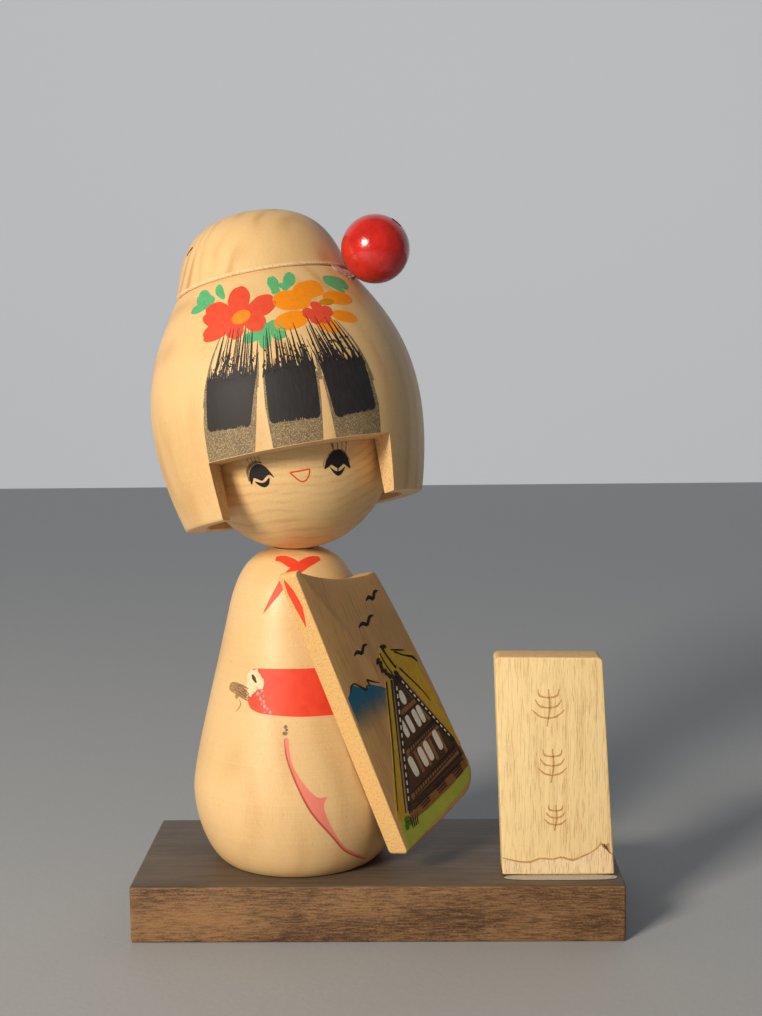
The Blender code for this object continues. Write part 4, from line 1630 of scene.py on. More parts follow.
@dataclass
class SleeveBoard:
    """The sawn sleeve board and the village painted on it, in the board's own plane.

    Attributes:
        thickness: The board's thickness.
        edge: Radius of its edges.
        foot_rounding: How far up the lower edge is sanded round.
        heel: Its lower front corner.
        toe: Its lower back corner.
        back: Its upper back corner.
        front: Its upper front corner.
    """

    thickness: float = 6.0
    edge: float = 0.7
    foot_rounding: float = 1.7
    heel: Point = (0.0, -1.8)
    toe: Point = (33.2, 0.4)
    back: Point = (25.7, 62.8)
    front: Point = (0.0, 74.3)

    def outline(self) -> list[Point]:
        """The board's outline."""
        points = corner_arc(self.front, self.heel, self.toe, 1.2)
        points += corner_arc(self.heel, self.toe, self.back, 6.0, 14)
        points += bowed((32.0, 10.0), self.back, -0.9, 14)
        points += corner_arc(self.toe, self.back, self.front, 1.5)
        points += bowed(self.back, self.front, 1.9, 20)[1:-1]
        points += corner_arc(self.back, self.front, self.heel, 1.2)
        return points

    def build(self) -> None:
        """Build the board and paint it."""
        place = sleeve_frame()
        piece = board("sawn_sleeve", self.outline(), self.thickness, self.edge)
        self.round_foot(piece)
        dress(piece, SLEEVE_FACE.make(place), SLEEVE_EDGE.make(place))
        for face in piece.data.polygons:
            face.material_index = 0 if abs(face.normal.z) > 0.6 else 1
        set_down(piece, place)
        hand_over(piece, Body.STAND, Slot.SLEEVE, "sleeve_board")
        self.paint_land()
        self.paint_house()
        self.paint_ink()
        leaf = stroke([(1.7, 72.2), (2.3, 69.0), (2.9, 65.0), (2.7, 59.9)], [0.3, 2.3, 2.4, 0.1])
        self.lay("edge_leaf", [leaf], 1, RED, EdgeSurface(0.0))

    def round_foot(self, piece: bpy.types.Object) -> None:
        """Sand the board's lower edge round over its whole thickness."""
        pick(piece)
        bpy.ops.object.mode_set(mode="EDIT")
        for share in (0.12, 0.25, 0.4, 0.6, 0.8, 1.0):
            bpy.ops.mesh.select_all(action="SELECT")
            level = self.heel[1] + share * self.foot_rounding
            bpy.ops.mesh.bisect(plane_co=(0.0, level, 0.0), plane_no=(0.0, 1.0, 0.0))
        bpy.ops.object.mode_set(mode="OBJECT")
        middle = self.thickness / 2.0
        for vertex in piece.data.vertices:
            lack = 1.0 - min(max((vertex.co.y - self.heel[1]) / self.foot_rounding, 0.0), 1.0)
            vertex.co.z = middle + (vertex.co.z - middle) * (1.0 - 0.62 * lack**2.4)

    def lay(self, name: str, outlines: list, coat: int, finish: object,
        surface: Surface | None = None) -> None:
        """Lay one film of paint on the board."""
        surface = surface or FlatSurface(self.thickness)
        paint_on(name, outlines, surface, coat, finish, sleeve_frame(), Body.STAND, None)

    def paint_land(self) -> None:
        """Paint the hill behind the house and the grass before it."""
        ridge = [(0.8, 40.4), (2.8, 41.7), (4.0, 42.3), (5.7, 40.8), (7.4, 39.1), (9.4, 39.9), (12.8, 37.6),
            (14.6, 36.0)]
        hill = ridge + [(12.5, 31.5), (10.6, 27.0), (0.8, 27.0)]
        self.lay("painted_hill", [hill], 1, HILL)
        rim = [(2.2, 41.0), (3.2, 42.2), (4.6, 42.4), (6.4, 40.5), (7.6, 39.3), (8.3, 40.0), (9.2, 39.9),
            (9.0, 41.2)]
        rim += [(10.4, 40.2), (12.6, 38.7)]
        self.lay("ridge_line", [stroke(rim, [0.3, 0.6, 0.35, 0.6, 0.7, 0.4, 0.3, 0.6, 0.45, 0.2])], 2, INK)
        grass = [(1.0, 0.4), (1.6, -0.4), (12.0, 0.3), (26.0, 1.3), (29.8, 2.3), (32.0, 5.0), (32.2, 7.4)]
        grass += [(29.6, 6.4), (26.0, 5.6), (18.0, 6.0), (11.0, 5.6), (6.2, 6.6), (3.4, 7.6), (1.6, 7.0)]
        self.lay("painted_grass", [smooth(grass, 3)], 1, GRASS)
        tuft = [(4.2, 5.9), (5.2, 4.8), (3.4, 4.6)]
        self.lay("grass_tuft", [blob(spot, 2.3, 1.6, 30.0 * i) for i, spot in enumerate(tuft)], 2, MOSS)

    def paint_house(self) -> None:
        """Paint the thatched house: roof, gable, boards and windows."""
        left_roof = [(16.6, 37.9), (11.0, 23.9), (4.9, 8.8), (3.4, 5.6), (0.9, 7.6), (2.6, 12.0),
            (9.1, 25.0), (14.7, 38.4)]
        right_roof = [(20.4, 43.6), (22.3, 42.6), (27.4, 40.3), (29.1, 29.0), (30.9, 18.0), (32.0, 11.6),
            (30.3, 13.6)]
        right_roof += [(25.5, 25.4), (20.2, 38.2)]
        bundle = [(15.6, 43.6), (17.6, 46.2), (20.3, 45.0), (20.6, 39.0), (18.6, 37.4), (16.0, 38.8)]
        self.lay("thatch", [left_roof, right_roof, bundle], 2, THATCH)
        gable = [(19.0, 38.6), (24.9, 26.2), (30.3, 14.6), (31.2, 9.2), (28.6, 7.4), (18.0, 6.9),
            (5.4, 6.6), (10.9, 20.0)]
        self.lay("gable", [gable], 3, GABLE)
        yard = [(5.6, 7.4), (31.3, 11.6), (31.9, 9.0), (31.6, 5.6), (24.0, 4.6), (12.0, 4.2), (5.2, 4.6)]
        self.lay("yard_boards", [yard], 2, PLANK)
        planks = []
        for low, high in (((14.2, 28.6), (22.4, 28.9)), ((12.2, 19.3), (26.6, 19.9)),
            ((8.4, 9.4), (29.9, 10.7))):
            planks.append(stroke([low, high], [1.5, 1.5], 1))
        planks += [stroke([(x, 12.6), (x - 0.5, 18.6)], [1.0, 1.0], 1) for x in (15.6, 18.8, 22.0, 26.0)]
        planks += [stroke([(22.2, 30.4), (19.8, 35.0)], [1.8, 0.6], 1),
            stroke([(24.6, 22.6), (23.0, 28.0)], [1.4, 1.2], 1)]
        self.lay("gable_planks", planks, 4, PLANK)
        panes = [blob((18.2, 31.9), 4.0, 1.9, 97.0, 2.4)]
        panes += [blob(spot, 5.0, 1.6, 98.0, 3.6) for spot in ((14.9, 25.0), (17.3, 25.0), (20.2, 25.2),
            (22.2, 25.3))]
        panes += [blob(spot, 5.6, 1.9, 97.0, 3.6) for spot in ((12.9, 15.6), (17.3, 15.9), (19.9, 16.2),
            (24.4, 16.8))]
        self.lay("window_panes", panes, 5, PAPER)

    def paint_ink(self) -> None:
        """Draw the house's black lines, the birds above it and the hatching below."""
        lines = [
            stroke([(14.9, 37.8), (9.4, 24.7), (5.0, 15.4), (2.2, 9.2)], [0.55, 0.4, 0.3, 0.2]),
            stroke([(16.9, 37.4), (11.2, 23.9), (4.4, 7.4)], [0.7, 0.45, 0.35]),
            stroke([(21.0, 38.6), (25.6, 30.4), (27.2, 26.4)], [0.5, 0.35, 0.2]),
            stroke([(21.4, 42.9), (24.2, 40.6), (26.8, 38.9), (28.0, 37.0)], [0.5, 0.4, 0.7, 0.3]),
            stroke([(20.6, 43.8), (23.0, 42.6), (25.0, 41.6)], [0.35, 0.45, 0.2]),
            stroke([(17.6, 46.3), (18.6, 42.8), (19.9, 39.2)], [0.8, 0.5, 0.6]),
            stroke([(16.4, 44.8), (17.0, 41.4), (17.9, 38.6)], [0.3, 0.35, 0.5]),
        ]
        knots = [(14.9, 43.4), (15.4, 42.3), (15.2, 41.0), (16.0, 39.9), (16.7, 38.6), (17.8, 37.8),
            (19.3, 38.1), (18.6, 45.6)]
        lines += [blob(spot, 1.9, 1.1, 35.0 + 17.0 * i) for i, spot in enumerate(knots)]
        self.lay("roof_lines", lines, 4, INK)
        bands = [stroke([(18.5, 37.6), (12.1, 22.0), (6.0, 7.2)], [1.5, 1.4, 1.2], 3)]
        bands.append(stroke([(19.0, 37.8), (24.3, 25.8), (29.8, 13.8)], [1.5, 1.4, 1.2], 3))
        self.lay("barge_bands", bands, 6, INK)
        dashes = []
        for start, end, count in (((17.7, 35.2), (6.6, 8.6), 15), ((20.1, 35.4), (29.4, 14.8), 13)):
            first, last = Vector(start), Vector(end)
            for i in range(count):
                a, b = first.lerp(last, i / count), first.lerp(last, (i + 0.55) / count)
                dashes.append(stroke([tuple(a), tuple(b)], [0.4, 0.34], 1))
        self.lay("white_dashes", dashes, 7, PAPER)
        rails = []
        for low, high, bars in (((13.6, 20.4), (26.6, 21.9), 13), ((9.4, 10.4), (29.6, 12.6), 18),
            ((8.2, 8.2), (30.6, 9.6), 0)):
            first, last = Vector(low), Vector(high)
            rails.append(stroke([low, high], [0.34, 0.34], 1))
            rails.append(stroke([tuple(first - Vector((0.4, 1.5))), tuple(last - Vector((-0.2, 1.5)))],
                [0.3, 0.3], 1))
            for i in range(bars):
                spot = first.lerp(last, (i + 0.5) / bars)
                rails.append(stroke([tuple(spot), (spot.x - 0.15, spot.y - 1.5)], [0.26, 0.22], 1))
        rails.append(stroke([(14.6, 27.9), (23.2, 28.4)], [0.3, 0.3], 1))
        for x in (9.6, 17.0, 24.6):
            rails += [stroke([(x + 0.3 * i, 7.6 - 0.75 * i), (x + 4.4, 7.9 - 0.75 * i)], [0.26, 0.36],
                1) for i in range(4)]
        self.lay("gable_lines", rails, 6, INK)
        birds = []
        for x, y, size in ((21.4, 57.2, 2.6), (16.2, 52.6, 3.2), (10.8, 47.4, 2.8)):
            wing = [(x - size, y + 0.7), (x - size * 0.5, y + 1.1), (x, y)]
            tilted = [(2 * x - a, b + 0.5 * (x - a) / size) for a, b in wing]
            birds += [stroke(wing, [0.25, 1.0, 0.9]), stroke(tilted, [0.25, 0.95, 0.9])]
        self.lay("painted_birds", birds, 1, INK)
        blades = [stroke([(5.0 + 0.7 * i, 3.0), (5.3 + 0.8 * i, 4.6), (5.2 + 1.1 * i, 5.8)],
            [0.4, 0.3, 0.08]) for i in range(4)]
        self.lay("grass_blades", blades, 3, INK)


@dataclass
class SignBoard:
    """The upright sign: open-pored board, with worn carving and a torn foot.

    Attributes:
        thickness: Its thickness.
        foot_width: Its width at the foot.
        top_left: Where its upper left corner lies, from the foot's middle.
        top_right: Where its upper right corner lies.
        height: Its height above the plinth.
        corner: Radius of its upper corners.
        edge: Radius of its edges.
    """

    thickness: float = 8.0
    foot_width: float = 27.3
    top_left: float = -15.45
    top_right: float = 10.45
    height: float = 54.6
    corner: float = 1.3
    edge: float = 0.4

    def outline(self) -> list[Point]:
        """The board's outline."""
        half = self.foot_width / 2.0
        left_foot, right_foot = (-half, GAP), (half, GAP)
        right_top, left_top = (self.top_right, self.height - 0.3), (self.top_left, self.height)
        points = [left_foot, right_foot]
        points += corner_arc(right_foot, right_top, left_top, self.corner)
        points += corner_arc(right_top, left_top, left_foot, self.corner)
        return points

    def build(self) -> None:
        """Build the board, its carving, its torn foot and its glue."""
        place = sign_frame()
        piece = board("sawn_sign", self.outline(), self.thickness, self.edge)
        dress(piece, SIGN_FACE.make(place), SIGN_END.make(place))
        for face in piece.data.polygons:
            face.material_index = 1 if face.normal.y > 0.6 else 0
        set_down(piece, place)
        hand_over(piece, Body.STAND, Slot.SIGN, "sign_plaque")
        self.carve()
        self.tear()

    def lay(self, name: str, outlines: list, coat: int, finish: object) -> None:
        """Lay one film on the front face."""
        paint_on(name, outlines, FlatSurface(self.thickness), coat, finish, sign_frame(), Body.STAND, None)

    def carve(self) -> None:
        """Scratch three worn sprigs, each a stem with pairs of leaves, down the middle."""
        marks = []
        for x, y, size in ((-2.6, 42.0, 4.6), (-1.6, 27.6, 4.2), (-0.8, 14.6, 3.2)):
            marks.append(stroke([(x - 0.3, y - size), (x + 0.3, y), (x, y + size)], [0.3, 0.5, 0.25]))
            for i in range(3):
                level = y - size * 0.55 + i * size * 0.55
                for side in (-1.0, 1.0):
                    tip = (x + side * size * (0.85 - 0.15 * i), level + size * 0.45)
                    marks.append(stroke([(x, level), (x + side * size * 0.45, level + size * 0.1), tip],
                        [0.3, 0.5, 0.15]))
        self.lay("worn_sprigs", marks, 1, INCISED)

    def tear(self) -> None:
        """Tear the face off along the foot and pool glue before it."""
        half = self.foot_width / 2.0 - 0.45
        wave = [(-half - 0.4, 4.6), (-10.0, 3.7), (-7.0, 3.5), (-4.6, 4.4), (-1.4, 4.2), (0.6, 4.7),
            (3.4, 4.0), (6.0, 5.0)]
        wave += [(8.0, 6.0), (9.6, 7.2), (10.4, 8.2), (11.2, 7.0), (11.9, 8.0), (12.2, 6.2),
            (half - 0.1, 5.4)]
        upper = smooth(wave, 3, closed=False)
        self.lay("torn_foot", [upper + [(half, 0.8), (-half, 0.8)]], 1, SIGN_TORN)
        self.lay("torn_edge", [stroke(wave, [0.3, 0.5, 0.35, 0.6, 0.3, 0.5, 0.7, 0.4], 3)], 2, INCISED)
        pool = blob((0.4, self.thickness + 1.4), 27.5, 3.6, 0.0, 3.0)
        paint_on("glue_pool", [pool], FloorSurface(0.0), 6, CLEAR_GLUE, sign_frame(), Body.STAND, 0.9)


# ---------------------------------------------------------------------------------------------
# The head: ball, bob, knot and bead
# ---------------------------------------------------------------------------------------------


@dataclass
class FaceBall:
    """The turned ball with its painted face.

    Attributes:
        radius: The ball's radius.
        bore: Radius of the bore for the neck dowel.
        bore_top: Height of the bore's end from the ball's middle.
        reference: Radius at which the painting is true to length.
    """

    radius: float = 24.4
    reference: float = 24.0
    bore: float = 4.3
    bore_top: float = -10.9

    def build(self) -> None:
        """Build the ball and paint its face."""
        place = Matrix.Translation(joint_position("head_turn"))
        lip = -math.acos(self.bore / self.radius)
        profile = [(0.0, self.bore_top), (self.bore, self.bore_top)]
        profile += arc(self.radius, lip, math.pi / 2.0, 90)
        piece = turned("turned_ball", profile)
        set_down(piece, place)
        dress(piece, FACE_WOOD.make(head_frame()))
        hand_over(piece, Body.HEAD, Slot.TURNED, "face_ball")
        self.paint()

    def lay(self, name: str, outlines: list, coat: int, finish: object) -> None:
        """Lay one film of paint on the ball."""
        surface = BallSurface(self.radius, self.reference)
        paint_on(name, outlines, surface, coat, finish, head_frame(), Body.HEAD, 0.8)

    def paint(self) -> None:
        """Paint the eyes, lashes and mouth."""
        left_cap = [(-13.7, -8.0), (-13.5, -6.2), (-12.8, -4.8), (-11.8, -4.0), (-10.5, -3.7), (-9.2, -4.3)]
        left_cap += [(-8.2, -5.6), (-7.3, -7.6), (-8.3, -6.7), (-9.3, -7.0), (-10.5, -7.7), (-11.6, -7.1)]
        left_cap += [(-12.5, -6.7), (-13.1, -7.6)]
        right_cap = [(5.2, -7.6), (5.8, -6.0), (6.8, -4.8), (8.0, -3.9), (9.4, -3.7), (10.6, -4.5),
            (11.6, -5.9)]
        right_cap += [(12.3, -8.2), (11.3, -7.7), (10.4, -7.1), (9.5, -7.6), (8.8, -7.9), (8.0, -7.5),
            (7.1, -6.9), (6.3, -7.3)]
        left_iris = [(-12.5, -7.5), (-11.6, -8.7), (-10.3, -9.3), (-9.0, -8.7), (-8.5, -7.3), (-9.5, -7.9),
            (-10.5, -8.2)]
        left_iris += [(-11.5, -7.9)]
        right_iris = [(6.6, -7.3), (7.4, -8.6), (8.7, -9.6), (9.9, -9.1), (10.8, -7.7), (9.8, -8.3),
            (8.8, -8.6), (7.7, -8.2)]
        join = stroke([(8.75, -7.4), (8.75, -8.8)], [0.25, 0.3], 1)
        self.lay("eye_shapes", [smooth(s, 4) for s in (left_cap, right_cap, left_iris,
            right_iris)] + [join], 2, EYE_BLACK)
        washes = [stroke([(-13.9, -7.2), (-13.4, -4.7), (-11.4, -3.2), (-9.4, -3.6)], [0.3, 0.9, 0.9, 0.2])]
        washes.append(stroke([(5.6, -6.2), (6.8, -4.5), (8.6, -3.7), (10.6, -4.3), (12.2, -6.6)],
            [0.2, 0.4, 0.5, 0.5, 0.2]))
        self.lay("eye_washes", washes, 1, EYE_WASH)
        lashes = [
            stroke([(-13.0, -1.9), (-12.6, -3.0), (-12.0, -4.2)], [0.3, 0.14, 0.1]),
            stroke([(-12.0, -1.8), (-11.7, -2.8), (-11.3, -3.9)], [0.14, 0.16, 0.1]),
            stroke([(-11.0, -1.8), (-10.8, -2.8), (-10.6, -3.9)], [0.12, 0.14, 0.1]),
            stroke([(-10.0, -2.0), (-9.8, -3.0), (-9.6, -4.2)], [0.34, 0.16, 0.1]),
            stroke([(7.8, -1.8), (7.9, -2.9), (8.0, -4.2)], [0.7, 0.5, 0.2]),
            stroke([(9.2, -1.8), (9.2, -2.9), (9.1, -4.0)], [0.2, 0.24, 0.12]),
            stroke([(10.5, -1.8), (10.3, -3.0), (10.1, -4.3)], [0.14, 0.2, 0.12]),
            stroke([(11.6, -1.9), (11.4, -3.2), (10.8, -4.8)], [0.24, 0.2, 0.12]),
            stroke([(5.6, -5.2), (5.2, -6.2), (4.9, -7.2)], [0.1, 0.24, 0.08]),
        ]
        self.lay("lashes", lashes, 1, EYE_WASH)
        corners = [(-3.3, -7.1), (-0.9, -7.15), (1.3, -7.1), (1.5, -7.5), (1.1, -8.6), (0.2, -9.5),
            (-0.9, -9.6), (-2.0, -8.7)]
        self.lay("mouth_line", [stroke([*corners, (-3.3, -7.1)], [0.34, 0.34], 4)], 1, MOUTH_RED)


@dataclass
class HairBob:
    """The turned hollow bob with its sawn window, painted fringe and flowers.

    Attributes:
        upper: Knots of the curve from the crown to the widest girth.
        lower: Knots of the curve from there to the rim.
        hollow: Radius of the hollow.
        dowel_bore: Radius of the dowel's bore in the crown.
        bore_bottom: Height of that bore's end.
        window_top: Height of the window's upper edge.
        window_half: Half the window's width at its reach.
        window_reach: Distance in front of the axis at which that holds.
        window_draft: How fast the window narrows towards the ball.
    """

    upper: tuple[Point, ...] = ((22.3, 41.7), (27.4, 33.2), (33.7, 24.6), (33.7, 8.6))
    lower: tuple[Point, ...] = ((33.7, 8.6), (33.7, -0.8), (31.3, -10.1), (29.8, -15.3))
    hollow: float = 24.7
    dowel_bore: float = 3.3
    bore_bottom: float = 32.7
    window_top: float = -1.9
    window_half: float = 21.5
    window_reach: float = 25.0
    window_draft: float = 0.31

    def side(self) -> tuple[Point, ...]:
        """The bob's outer side, crown first."""
        return tuple(bezier(self.upper, 44) + bezier(self.lower, 30)[1:])

    def half_width(self, reach: float) -> float:
        """Half the window's width at a distance in front of the axis."""
        return self.window_half + self.window_draft * (reach - self.window_reach)

    def build(self) -> None:
        """Build the bob and paint it."""
        place = head_frame()
        crown, rim = self.upper[0], self.lower[3]
        profile = [(0.0, self.bore_bottom), (self.dowel_bore, self.bore_bottom), (self.dowel_bore, crown[1])]
        profile += [(crown[0] - 0.5, crown[1]), *self.side()[1:-1], (rim[0], rim[1] + 0.25),
            (rim[0] - 0.25, rim[1])]
        profile += [(self.hollow + 0.2, rim[1]), (self.hollow, rim[1] + 0.2)]
        profile += arc(self.hollow, 0.0, math.pi / 2.0, 40)
        piece = turned("turned_bob", profile)
        cut(piece, self.window())
        dress(piece, HAIR_WOOD.make(place), SAWN_WINDOW.make(place))
        for face in piece.data.polygons:
            face.material_index = 1 if self.is_sawn(face) else 0
        set_down(piece, place)
        hand_over(piece, Body.HEAD, Slot.TURNED, "hair_bob")
        self.paint_flowers()
        self.paint_fringe()

    def window(self) -> bpy.types.Object:
        """The saw's block: a tapering wedge in front of the face."""
        near, far, depth = 50.0, 8.0, 28.7
        start_clean()
        bpy.ops.mesh.primitive_cube_add(
            size=1.0,
            location=(0.0, -(near + far) / 2.0, self.window_top - depth / 2.0),
            scale=(1.0, near - far, depth),
        )
        block = name_piece("window_block")
        bpy.ops.object.transform_apply(location=True, rotation=True, scale=True)
        for vertex in block.data.vertices:
            vertex.co.x = math.copysign(self.half_width(-vertex.co.y), vertex.co.x)
        return block

    def is_sawn(self, face: bpy.types.MeshPolygon) -> bool:
        """Whether a face is one of the window's sawn walls."""
        x, y, z = face.center
        wall = abs(abs(x) - self.half_width(-y)) < 0.02 and abs(face.normal.x) > 0.8
        lintel = abs(z - self.window_top) < 0.02 and abs(face.normal.z) > 0.9
        return y < 0.0 and z <= self.window_top + 0.02 and (wall or lintel)

    def lay(self, name: str, outlines: list, coat: int, finish: object) -> None:
        """Lay one film of paint on the bob."""
        surface = TurnedSurface(self.side(), BOB_REFERENCE)
        paint_on(name, outlines, surface, coat, finish, head_frame(), Body.HEAD)

    def paint_flowers(self) -> None:
        """Paint the red and the orange flower and their leaves."""
        heart = (-9.2, 30.2)
        red = [
            petal(heart, (-10.0, 38.2), 6.8, 0.0, 0.35),
            petal(heart, (0.2, 33.2), 5.4, 0.06, 0.4),
            petal(heart, (-20.6, 33.6), 6.4, 0.06, 0.4),
            petal(heart, (-20.0, 27.4), 5.0, 0.02, 0.5),
            petal(heart, (-12.2, 25.4), 4.8, 0.04, 0.5),
            petal(heart, (-3.4, 27.0), 5.0, 0.04, 0.5),
        ]
        for i, outline in enumerate(red):
            self.lay(f"red_petal_{i + 1}", [outline], 1 + i % 3, FLOWER_RED)
        self.lay("red_flower_heart", [blob(heart, 5.2, 3.4, 8.0)], 4, FLOWER_HEART)
        orange = [
            blob((10.6, 34.6), 9.8, 4.8, 10.0, 2.6),
            blob((4.8, 32.3), 10.2, 5.4, -4.0, 2.4),
            blob((3.2, 27.1), 8.8, 4.6, 8.0, 2.3),
            blob((18.4, 31.9), 9.6, 3.8, -2.0, 2.3),
            blob((17.6, 26.8), 7.2, 3.2, -10.0, 2.3),
            blob((11.6, 25.2), 6.6, 4.0, -34.0, 2.3),
        ]
        for i, outline in enumerate(orange):
            self.lay(f"orange_petal_{i + 1}", [outline], 1 + i % 2, FLOWER_ORANGE)
        self.lay("mustard_dab", [blob((14.2, 30.9), 4.6, 1.8, 4.0)], 3, MUSTARD)
        star = [petal((10.4, 28.2), tip, 3.0, 0.02, 0.6) for tip in ((6.4, 28.4), (10.8, 31.2),
            (14.6, 28.6), (12.8, 25.6), (8.4, 25.6))]
        for i, outline in enumerate(star):
            self.lay(f"star_petal_{i + 1}", [outline], 3 + i % 2, FLOWER_RED)
        leaves = [
            petal((-18.0, 35.8), (-25.0, 39.0), 4.2, 0.04, 0.5),
            petal((-14.4, 36.2), (-17.6, 40.0), 2.6, 0.02),
            petal((-18.4, 35.6), (-26.4, 35.4), 2.5, 0.02, 0.5),
            petal((1.2, 34.6), (0.7, 39.4), 3.5, 0.03, 0.6),
            petal((3.4, 35.4), (7.8, 39.5), 3.3, 0.02, 0.4),
            blob((3.0, 36.6), 1.6, 1.1, 60.0),
            blob((21.6, 36.5), 9.0, 3.6, -4.0, 3.0),
            blob((20.4, 34.9), 5.0, 2.0, -30.0),
            blob((24.2, 35.3), 3.4, 1.8, 20.0),
            blob((-6.4, 24.8), 5.6, 2.8, 12.0, 2.4),
            petal((-3.2, 27.4), (-4.3, 21.2), 3.0, 0.02, 0.5),
            petal((-1.8, 27.6), (0.2, 22.8), 3.6, 0.04, 0.5),
        ]
        self.lay("green_leaves", leaves, 1, LEAF_GREEN)

    def paint_fringe(self) -> None:
        """Paint the fringe: grey hem, black locks and the dry brush's streaks."""
        dice = random.Random(5)
        foot = self.window_top + 0.12
        hems = [
            [(-20.4, 12.0), (-21.6, 7.0), (-22.6, foot), (-10.5, foot), (-8.6, 6.0), (-6.9, 14.4),
                (-13.0, 15.0)],
            [(-5.7, 14.6), (-6.3, 8.0), (-6.3, foot), (5.1, foot), (6.1, 8.0), (6.5, 14.0), (0.0, 14.6)],
            [(7.2, 12.6), (7.6, 6.0), (8.1, foot), (19.9, foot), (20.3, 4.9), (19.4, 12.6), (13.0, 13.6)],
        ]
        self.lay("grey_hem", hems, 1, GREY_HEM)
        margins = [
            stroke([(-20.6, 10.6), (-19.3, 15.6), (-17.2, 21.6), (-14.6, 26.8)], [0.9, 0.7, 0.5, 0.1]),
            stroke([(19.7, 10.6), (18.7, 15.8), (17.1, 20.8), (14.6, 26.0)], [0.9, 0.7, 0.5, 0.1]),
            stroke([(-7.3, 12.6), (-6.6, 16.4), (-6.1, 19.6)], [0.6, 0.5, 0.1]),
            stroke([(6.7, 12.0), (6.9, 15.6), (6.7, 19.0)], [0.7, 0.9, 0.2]),
        ]
        self.lay("grey_margins", margins, 2, GREY_HEM)
        locks = []
        for corners in (
            ((-19.0, 16.6), (-7.0, 15.8), (-10.4, 4.0), (-20.9, 4.9)),
            ((-5.2, 16.2), (6.0, 15.8), (5.3, 3.2), (-6.0, 3.7)),
            ((7.3, 15.4), (18.4, 15.6), (19.3, 3.7), (8.7, 2.6)),
        ):
            upper_left, upper_right, lower_right, lower_left = corners
            lock = ragged(upper_right, upper_left, 26, -3.4, dice)[::-1]
            lock += corner_arc(upper_right, lower_right, lower_left, 1.3, 6)
            lock += ragged(lock[-1], corner_arc(lower_right, lower_left, upper_left, 1.3, 6)[0], 20, -0.9,
                dice)[1:-1]
            lock += corner_arc(lower_right, lower_left, upper_left, 1.3, 6)
            locks.append(lock)
        self.lay("black_locks", locks, 3, BLACK)
        fans = {"left": (-19.4, -7.2), "middle": (-5.7, 6.2), "right": (7.4, 18.8)}
        tops_at = (-16.5, -12.8, -7.2, -2.6, 2.2, 6.5, 10.7, 14.5)
        tops = (24.0, 28.9, 27.4, 26.4, 25.6, 29.0, 28.6, 26.6)
        for coat, (name, (first, last)) in enumerate(fans.items()):
            streaks = []
            count = int((last - first) * 2.2)
            for i in range(count):
                root = first + (last - first) * (i + dice.uniform(0.1, 0.9)) / count
                tip = root * 0.76 + dice.uniform(-0.3, 0.3)
                peak = float(np.interp(tip, tops_at, tops)) - 8.0 * dice.random() ** 1.5
                middle = ((root + tip) / 2.0 + dice.uniform(-0.12, 0.12), (13.6 + peak) / 2.0)
                wide = dice.uniform(0.14, 0.46)
                streaks.append(stroke([(root, 14.6), middle, (tip, peak)], [0.42, wide, wide * 0.9, 0.04], 4))
            self.lay(f"streaks_{name}", streaks, 4, BLACK)
            flecks = []
            for _ in range(int((last - first) * 9)):
                level = 15.6 + 6.0 * dice.random() ** 1.7
                drawn_in = 1.0 - 0.24 * (level - 13.6) / 13.0
                spot = (dice.uniform(first, last) * drawn_in, level)
                flecks.append(blob(spot, dice.uniform(0.3, 0.9), dice.uniform(0.14, 0.4),
                    90.0 + dice.uniform(-25.0, 25.0)))
            self.lay(f"flecks_{name}", flecks, 5, DRY_BLACK)


@dataclass
class TopKnot:
    """The turned dome on the crown and the dowel under it.

    Attributes:
        foot: Height of its foot from the ball's middle.
        height: Its height.
        radius: Its radius at the foot.
        chamfer: Size of the chamfer at the foot.
        dowel: Radius of its dowel.
        dowel_ends: Heights of the dowel's ends.
    """

    foot: float = 41.74
    height: float = 19.06
    radius: float = 22.4
    chamfer: float = 0.25
    dowel: float = 3.0
    dowel_ends: tuple[float, float] = (33.0, 50.0)

    def build(self) -> None:
        """Build the dome and its dowel."""
        place = head_frame()
        top, edge = self.foot + self.height, self.foot + self.chamfer
        knots = [(0.0, top), (self.radius - 2.2, top), (self.radius - 2.7, self.foot + 6.0),
            (self.radius, edge)]
        bore = self.dowel + GAP
        profile = bezier(knots, 60) + [(self.radius - self.chamfer, self.foot), (bore, self.foot)]
        profile += [(bore, self.dowel_ends[1] + GAP), (0.0, self.dowel_ends[1] + GAP)]
        piece = turned("turned_knot", profile)
        set_down(piece, place)
        # The pale band at the knot's foot is a painted edge highlight.
        dress(piece, KNOT_WOOD.make(place, (self.foot - 0.2, self.foot + 1.0)))
        hand_over(piece, Body.HEAD, Slot.TURNED, "top_knot")
        # The chip is a dark film with no depth: painted shade inside it.
        chip = [(-27.6, 51.9), (-26.4, 52.6), (-24.8, 53.2), (-24.0, 52.7), (-25.8, 52.0), (-27.0, 51.4)]
        side = TurnedSurface(tuple(profile[:61]), self.radius)
        paint_on("knot_chip", [smooth(chip, 3)], side, 1, HOLE_SHADE, place, Body.HEAD)
        turn_dowel("knot_peg", self.dowel, self.dowel_ends, place, Body.HEAD, "knot_dowel")


